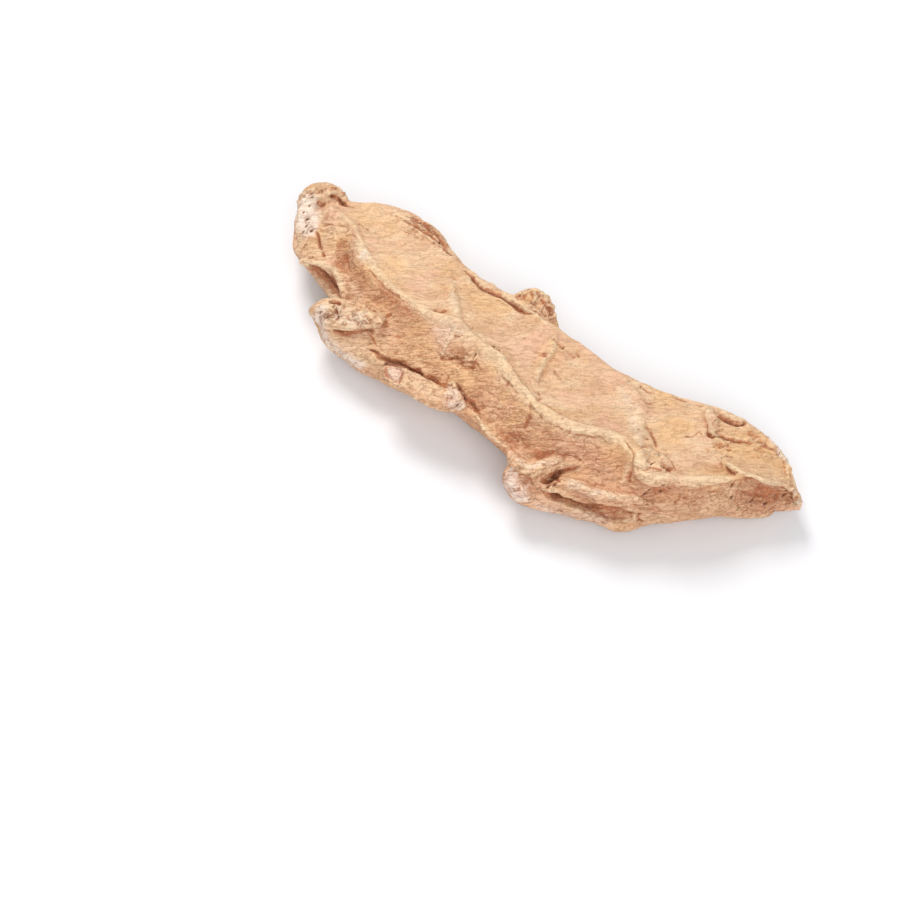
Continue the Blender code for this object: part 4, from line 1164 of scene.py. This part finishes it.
def along_both(tree, near, sizes):
    """Noise along the fibres, which run one way above the crest and another below it."""
    colours = bpy.context.scene.ginger_colours
    above = grained_noise(tree, colours.upper_grain, *sizes)
    below = grained_noise(tree, colours.lower_grain, *sizes)
    return add_node(tree, "ShaderNodeMix", {0: near, 2: above, 3: below}).outputs[0]


def thin_lines(tree, noise, width):
    """1 along the lines where the noise is at its middle value, falling to 0 a width away from it."""
    offset = add_node(tree, "ShaderNodeMath", {0: noise, 1: 0.5}, operation="SUBTRACT").outputs[0]
    away = add_node(tree, "ShaderNodeMath", {0: offset}, operation="ABSOLUTE").outputs[0]
    return stepped(tree, away, width, 0.0)


def skin_colour(tree, near, crumple, streaks, grit, cracks):
    """Tan fibres, mottled with ochre and rose; paler on what stands up and browner in what lies low, as
    painted highlight and painted shade; browner on the near side, partly painted shade; cream on ribs,
    chalky on scars; then fine lines, painted shade in the crinkles, dark cracks painted as shade at the
    bottoms of creases and in pits, specks and grit."""
    colours = bpy.context.scene.ginger_colours
    upper = colours.upper_grain
    mottle = grained_noise(tree, upper, *MOTTLE)
    blotches = grained_noise(tree, upper, *BLOTCHES)
    specks = grained_noise(tree, upper, *SPECKS)
    fibres = stepped(tree, along_both(tree, near, HAIRS), 0.44, 0.62)
    powder = plus(tree, tint(tree, "chalk"), times(tree, crumple, 0.7))
    lined = times(tree, cracks, plus(tree, times(tree, near, 0.65), 0.35))

    def ragged(name):
        """A tint whose edge is broken up by the crumple."""
        shifted = plus(tree, tint(tree, name), times(tree, plus(tree, crumple, -0.5), 1.6))
        return times(tree, stepped(tree, shifted, 0.25, 0.75), stepped(tree, tint(tree, name), 0.0, 0.35))

    def among_fibres(name):
        """A tint on the fibres alone."""
        return times(tree, tint(tree, name), fibres)

    # From the bottom up: what lays the layer on, where it starts and is full, its strength, its colour.
    layers = (
        (blotches, 0.50, 0.66, 0.65, colours.ochre),
        (blotches, 0.48, 0.34, 0.65, colours.rose),
        # The near side's brown: partly its own colour, partly painted shade where it faces away from the
        # light.
        (tint(tree, "near_brown_and_shade"), 0.0, 1.0, 0.65, colours.shade),
        (tint(tree, "ochre"), 0.0, 1.0, 0.7, colours.ochre),
        (tint(tree, "rose"), 0.0, 1.0, 0.7, colours.rose),
        (tint(tree, "brown"), 0.0, 1.0, 0.5, colours.brown),
        (ragged("rust"), 0.0, 1.0, 0.7, colours.rust),
        (ragged("fibre"), 0.0, 1.0, 0.4, colours.brown),
        # Painted shade in what lies low and painted highlight on what stands up, broadly.
        (tint(tree, "broad"), 0.5, 0.05, 0.7, colours.brown),
        (tint(tree, "broad"), 0.52, 1.0, 0.45, colours.cream),
        (tint(tree, "pale"), 0.1, 1.0, 0.45, colours.cream),
        (tint(tree, "mauve"), 0.0, 1.0, 0.6, colours.mauve),
        (powder, 0.45, 1.25, 0.9, colours.chalk),
        # The same painted shade and painted highlight, finely.
        (tint(tree, "fine"), 0.5, 0.0, 0.85, colours.brown),
        (tint(tree, "fine"), 0.5, 1.0, 0.5, colours.cream),
        (streaks, 0.50, 0.72, 0.22, colours.streak),
        (among_fibres("fibre"), 0.0, 1.0, 0.7, colours.dark_fibre),
        # Brown fibres on the near side, partly painted shade.
        (among_fibres("near_brown_and_shade"), 0.0, 1.0, 0.65, colours.brown),
        (lined, 0.0, 1.0, 0.5, colours.brown),
        # Painted shade in the low parts of the crumple, whose relief the bump gives.
        (crumple, 0.50, 0.28, 0.35, colours.streak),
        # Painted shade at the bottoms of creases, in pits and in hollows.
        (tint(tree, "dark"), 0.1, 1.0, 0.85, colours.speck_and_crease_shade),
        (specks, 0.70, 0.80, 0.4, colours.speck_and_crease_shade),
        (grit, 0.52, 0.78, 0.6, colours.brown),
        (grit, 0.48, 0.25, 0.55, colours.cream),
    )
    colour = blended(tree, stepped(tree, mottle, 0.35, 0.65), colours.tan, colours.pale_tan)
    for amount, low, high, strength, top in layers:
        colour = blended(tree, times(tree, stepped(tree, amount, low, high), strength), colour, top)
    return colour


# Noises along both grains: length and width in mm, detail and roughness.
CRUMPLE = (1.6, 0.7, 6.0, 0.65)
STREAKS = (1.8, 0.32, 4.0, 0.7)
HAIRS = (2.6, 0.27, 4.0, 0.7)
CRACKS = (3.2, 0.8, 5.0, 0.6)

# Noises along the upper grain alone, in the same way.
MOTTLE = (4.5, 3.0, 4.0, 0.6)
BLOTCHES = (10.0, 7.0, 2.0, 0.6)
SPECKS = (0.9, 0.6, 1.0, 0.6)
GRIT = (0.34, 0.26, 3.0, 0.7)

# How wide the cracks are, as a share of the noise's range; the bump's depth in mm; the roughness of the
# skin between its smoothest and its roughest grit.
CRACK_WIDTH = 0.035
BUMP_DEPTH = 0.55
ROUGHNESS = (0.72, 0.95)


def skin_finish():
    """Dry papery skin: its colour, a bump of fibres, crinkles, pores and cracks, and a matt surface."""
    material = bpy.data.materials.new("dried_ginger_skin")
    material.use_nodes = True
    tree = material.node_tree
    shader = tree.nodes["Principled BSDF"]
    near = tint(tree, "near")
    crumple = along_both(tree, near, CRUMPLE)
    streaks = along_both(tree, near, STREAKS)
    grit = grained_noise(tree, bpy.context.scene.ginger_colours.upper_grain, *GRIT)
    cracks = thin_lines(tree, along_both(tree, near, CRACKS), CRACK_WIDTH)
    colour = skin_colour(tree, near, crumple, streaks, grit, cracks)
    tree.links.new(colour, shader.inputs["Base Color"])

    grains = plus(tree, times(tree, streaks, 0.3), times(tree, grit, 0.35))
    relief = plus(tree, times(tree, crumple, 0.6), grains)
    relief = plus(tree, relief, times(tree, cracks, -0.12))
    inputs = {"Height": relief, "Strength": 1.0, "Distance": BUMP_DEPTH * MM}
    bump = add_node(tree, "ShaderNodeBump", inputs)
    tree.links.new(bump.outputs["Normal"], shader.inputs["Normal"])
    least, most = ROUGHNESS
    rough = add_node(tree, "ShaderNodeMapRange", {"Value": grit, "To Min": least, "To Max": most})
    tree.links.new(rough.outputs["Result"], shader.inputs["Roughness"])
    shader.inputs["Specular IOR Level"].default_value = 0.25
    return material


def table_finish():
    """Matt off-white, with the faintest cloudiness."""
    material = bpy.data.materials.new("pale_table")
    material.use_nodes = True
    tree = material.node_tree
    shader = tree.nodes["Principled BSDF"]
    place = add_node(tree, "ShaderNodeTexCoord").outputs["Object"]
    haze = add_node(tree, "ShaderNodeTexNoise", {"Vector": place, "Scale": 6.0, "Detail": 2.0})
    colour = blended(tree, haze.outputs["Fac"], tone(229, 229, 231), tone(234, 234, 236))
    tree.links.new(colour, shader.inputs["Base Color"])
    shader.inputs["Roughness"].default_value = 0.9
    shader.inputs["Specular IOR Level"].default_value = 0.1
    return material


class GingerShape(bpy.types.PropertyGroup):
    """Sizes of the skin's drawing and relief, in millimetres of the drawing."""

    stations: IntProperty(name="Stations", description="Cross-sections drawn along the body", default=420)
    panel_points: IntProperty(
        name="Panel points", description="Points round each side of the body", default=40
    )
    strand_sides: IntProperty(
        name="Strand sides", description="Points round each knob, fold and rim", default=28
    )
    voxel: FloatProperty(name="Fineness", description="Size of the fused skin's faces, mm", default=0.20)
    seam_passes: IntProperty(name="Seam softness", description="How often seams are eased", default=8)
    furrow: FloatProperty(name="Furrow depth", description="Long drying furrows, mm", default=0.16)
    crinkle: FloatProperty(name="Crinkle height", description="Small crumpled wrinkles, mm", default=0.20)
    swell: FloatProperty(name="Swell height", description="Soft swells and hollows, mm", default=0.35)
    back_fold: FloatProperty(
        name="Back folds", description="Lengthwise folds low on the back, mm", default=0.35
    )
    breakage: FloatProperty(
        name="Breakage", description="Roughness of scars and broken skin, mm", default=0.45
    )


class GingerColours(bpy.types.PropertyGroup):
    """Colours of the dried skin."""

    tan: FloatVectorProperty(
        name="Tan", description="Plain skin", subtype="COLOR", default=tone(228, 184, 143)
    )
    pale_tan: FloatVectorProperty(
        name="Pale tan", description="Clean skin", subtype="COLOR", default=tone(241, 205, 167)
    )
    ochre: FloatVectorProperty(
        name="Ochre", description="Yellow patches", subtype="COLOR", default=tone(240, 192, 138)
    )
    rose: FloatVectorProperty(
        name="Rose", description="Rosy patches", subtype="COLOR", default=tone(238, 186, 156)
    )
    # The near side's colour, partly painted shade.
    shade: FloatVectorProperty(
        name="Shade", description="Near side, low down", subtype="COLOR", default=tone(224, 166, 126)
    )
    # Darker fibres, and painted shade in the low parts of the crumple.
    streak: FloatVectorProperty(
        name="Streak", description="Darker fibres", subtype="COLOR", default=tone(208, 150, 110)
    )
    # Brown stains, fibres and fine lines, and painted shade in what lies low and on the near side.
    brown: FloatVectorProperty(
        name="Brown", description="Hollows", subtype="COLOR", default=tone(186, 116, 78)
    )
    rust: FloatVectorProperty(
        name="Rust", description="Warm hollows, beside cracks", subtype="COLOR", default=tone(182, 98, 54)
    )
    dark_fibre: FloatVectorProperty(
        name="Dark fibre", description="Strands in hollows", subtype="COLOR", default=tone(132, 66, 38)
    )
    # Painted shade in creases, pits and hollows, and the dark specks.
    speck_and_crease_shade: FloatVectorProperty(
        name="Crack", description="Deep cracks", subtype="COLOR", default=tone(104, 50, 30)
    )
    # Ribs, rings and grit, and painted highlight on what stands up.
    cream: FloatVectorProperty(
        name="Cream", description="Ribs and rings", subtype="COLOR", default=tone(250, 221, 182)
    )
    chalk: FloatVectorProperty(
        name="Chalk", description="Powdery scars", subtype="COLOR", default=tone(250, 232, 216)
    )
    mauve: FloatVectorProperty(
        name="Mauve", description="Faintly lilac patches", subtype="COLOR", default=tone(240, 212, 200)
    )
    upper_grain: FloatVectorProperty(
        name="Upper grain", description="Turns that lay X along the upper side's fibres",
        subtype="EULER", default=(0.0, 0.257, 0.746),
    )
    lower_grain: FloatVectorProperty(
        name="Lower grain", description="Turns that lay X along the near side's fibres",
        subtype="EULER", default=(0.0, -0.35, 0.39),
    )


class GingerStage(bpy.types.PropertyGroup):
    """The table, the light and the camera."""

    azimuth: FloatProperty(
        name="Azimuth", description="Camera's turn about Z", subtype="ANGLE", default=AZIMUTH
    )
    elevation: FloatProperty(
        name="Elevation", description="Camera above the table", subtype="ANGLE", default=ELEVATION
    )
    distance: FloatProperty(
        name="Distance", description="Camera to the aim", subtype="DISTANCE", default=DISTANCE * MM
    )
    lens: FloatProperty(name="Lens", description="Focal length, mm", default=LENS)
    key: FloatProperty(name="Key light", description="Main light's power, W", default=2.1)
    fill: FloatProperty(name="Fill light", description="Fill light's power, W", default=2.75)
    sky: FloatProperty(name="Sky", description="Strength of the light from all round", default=0.53)


class GINGER_OT_skin(bpy.types.Operator):
    """Model the root's whole skin, fused from its body and lumps, then creased and wrinkled"""

    bl_idname = "ginger.skin"
    bl_label = "Root Skin"

    def execute(self, context):
        points, quads, tints = skin_arrays()
        mesh = new_mesh("ginger_skin", inside_box(points), quads)
        for name, values in tints.items():
            attribute = mesh.attributes.new(name, "FLOAT", "POINT")
            attribute.data.foreach_set("value", values.astype(np.float32))
        mesh.polygons.foreach_set("use_smooth", np.ones(len(quads), bool))
        mesh.materials.append(skin_finish())
        skin = bpy.data.objects.new("ginger_skin", mesh)
        context.scene.collection.objects.link(skin)
        thinner = skin.modifiers.new("fewer_triangles", "DECIMATE")
        thinner.ratio = min(1.0, TRIANGLES / (2 * len(quads)))
        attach(skin, "root")
        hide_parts("rhizome")
        return {"FINISHED"}


# The soft boxes: place and width in metres, and colour.
KEY = ((-0.30, 0.22, 0.45), 0.22, (1.0, 0.99, 0.98))
FILL = ((0.30, -0.35, 0.45), 0.60, (0.97, 0.98, 1.0))


def add_softbox(name, power, place, size, colour):
    """A square light that faces the origin."""
    light = bpy.data.lights.new(name, "AREA")
    light.shape = "SQUARE"
    light.size = size
    light.energy = power
    light.color = colour
    lamp = bpy.data.objects.new(name, light)
    lamp.location = place
    lamp.rotation_euler = (-Vector(place)).to_track_quat("-Z", "Y").to_euler()
    bpy.context.scene.collection.objects.link(lamp)


def flat_square(half, count):
    """Points of a level square about the origin, count along each side, and its quads."""
    side = np.linspace(-half, half, count)
    across, along = np.meshgrid(side, side, indexing="ij")
    points = np.stack([across.ravel(), along.ravel(), np.zeros(across.size)], axis=-1)
    here = np.arange(across.size).reshape(across.shape)
    corners = [here[:-1, :-1], here[1:, :-1], here[1:, 1:], here[:-1, 1:]]
    return points, np.stack(corners, axis=-1).reshape(-1, 4)


def set_camera(stage):
    """The camera on its aim, turned and raised as the stage says."""
    lens = bpy.data.cameras.new("camera")
    lens.lens = stage.lens
    lens.sensor_width = SENSOR
    lens.clip_start = 0.01
    camera = bpy.data.objects.new("camera", lens)
    back = Vector(way_back(stage.azimuth, stage.elevation))
    camera.location = Vector((AIM - ORIGIN) * MM) + back * stage.distance
    camera.rotation_euler = (-back).to_track_quat("-Z", "Y").to_euler()
    bpy.context.scene.collection.objects.link(camera)
    bpy.context.scene.camera = camera


class GINGER_OT_stage(bpy.types.Operator):
    """Set the pale table, the soft light and the camera"""

    bl_idname = "ginger.stage"
    bl_label = "Table, Light and Camera"

    def execute(self, context):
        stage = context.scene.ginger_stage
        mesh = new_mesh("pale_table", *flat_square(half=1.5, count=9))
        table = bpy.data.objects.new("pale_table", mesh)
        table.data.materials.append(table_finish())
        context.scene.collection.objects.link(table)

        add_softbox("key", stage.key, *KEY)
        add_softbox("fill", stage.fill, *FILL)
        world = bpy.data.worlds.new("studio")
        world.use_nodes = True
        sky = world.node_tree.nodes["Background"].inputs
        sky["Color"].default_value = (1.0, 1.0, 1.0, 1.0)
        sky["Strength"].default_value = stage.sky
        context.scene.world = world
        context.scene.view_settings.view_transform = "Standard"
        set_camera(stage)
        return {"FINISHED"}


class GINGER_PT_panel(bpy.types.Panel):
    """Buttons for each piece, and the sizes and colours"""

    bl_idname = "GINGER_PT_panel"
    bl_label = "Dried Ginger Root"
    bl_space_type = "VIEW_3D"
    bl_region_type = "UI"
    bl_category = "Ginger"

    def draw(self, context):
        self.layout.operator("ginger.skin")
        self.layout.operator("ginger.stage")
        for group in (getattr(context.scene, name) for name in GROUPS):
            box = self.layout.box()
            for name in group.bl_rna.properties.keys():
                if name not in ("rna_type", "name"):
                    box.prop(group, name)


GROUPS = {"ginger_shape": GingerShape, "ginger_colours": GingerColours, "ginger_stage": GingerStage}
CLASSES = (*GROUPS.values(), GINGER_OT_skin, GINGER_OT_stage, GINGER_PT_panel)


def register():
    for made in CLASSES:
        bpy.utils.register_class(made)
    for name, group in GROUPS.items():
        setattr(bpy.types.Scene, name, PointerProperty(type=group))


def unregister():
    for name in GROUPS:
        delattr(bpy.types.Scene, name)
    for made in reversed(CLASSES):
        bpy.utils.unregister_class(made)


def main():
    register()
    bpy.ops.ginger.skin()
    bpy.ops.ginger.stage()


if __name__ == "__main__":
    main()
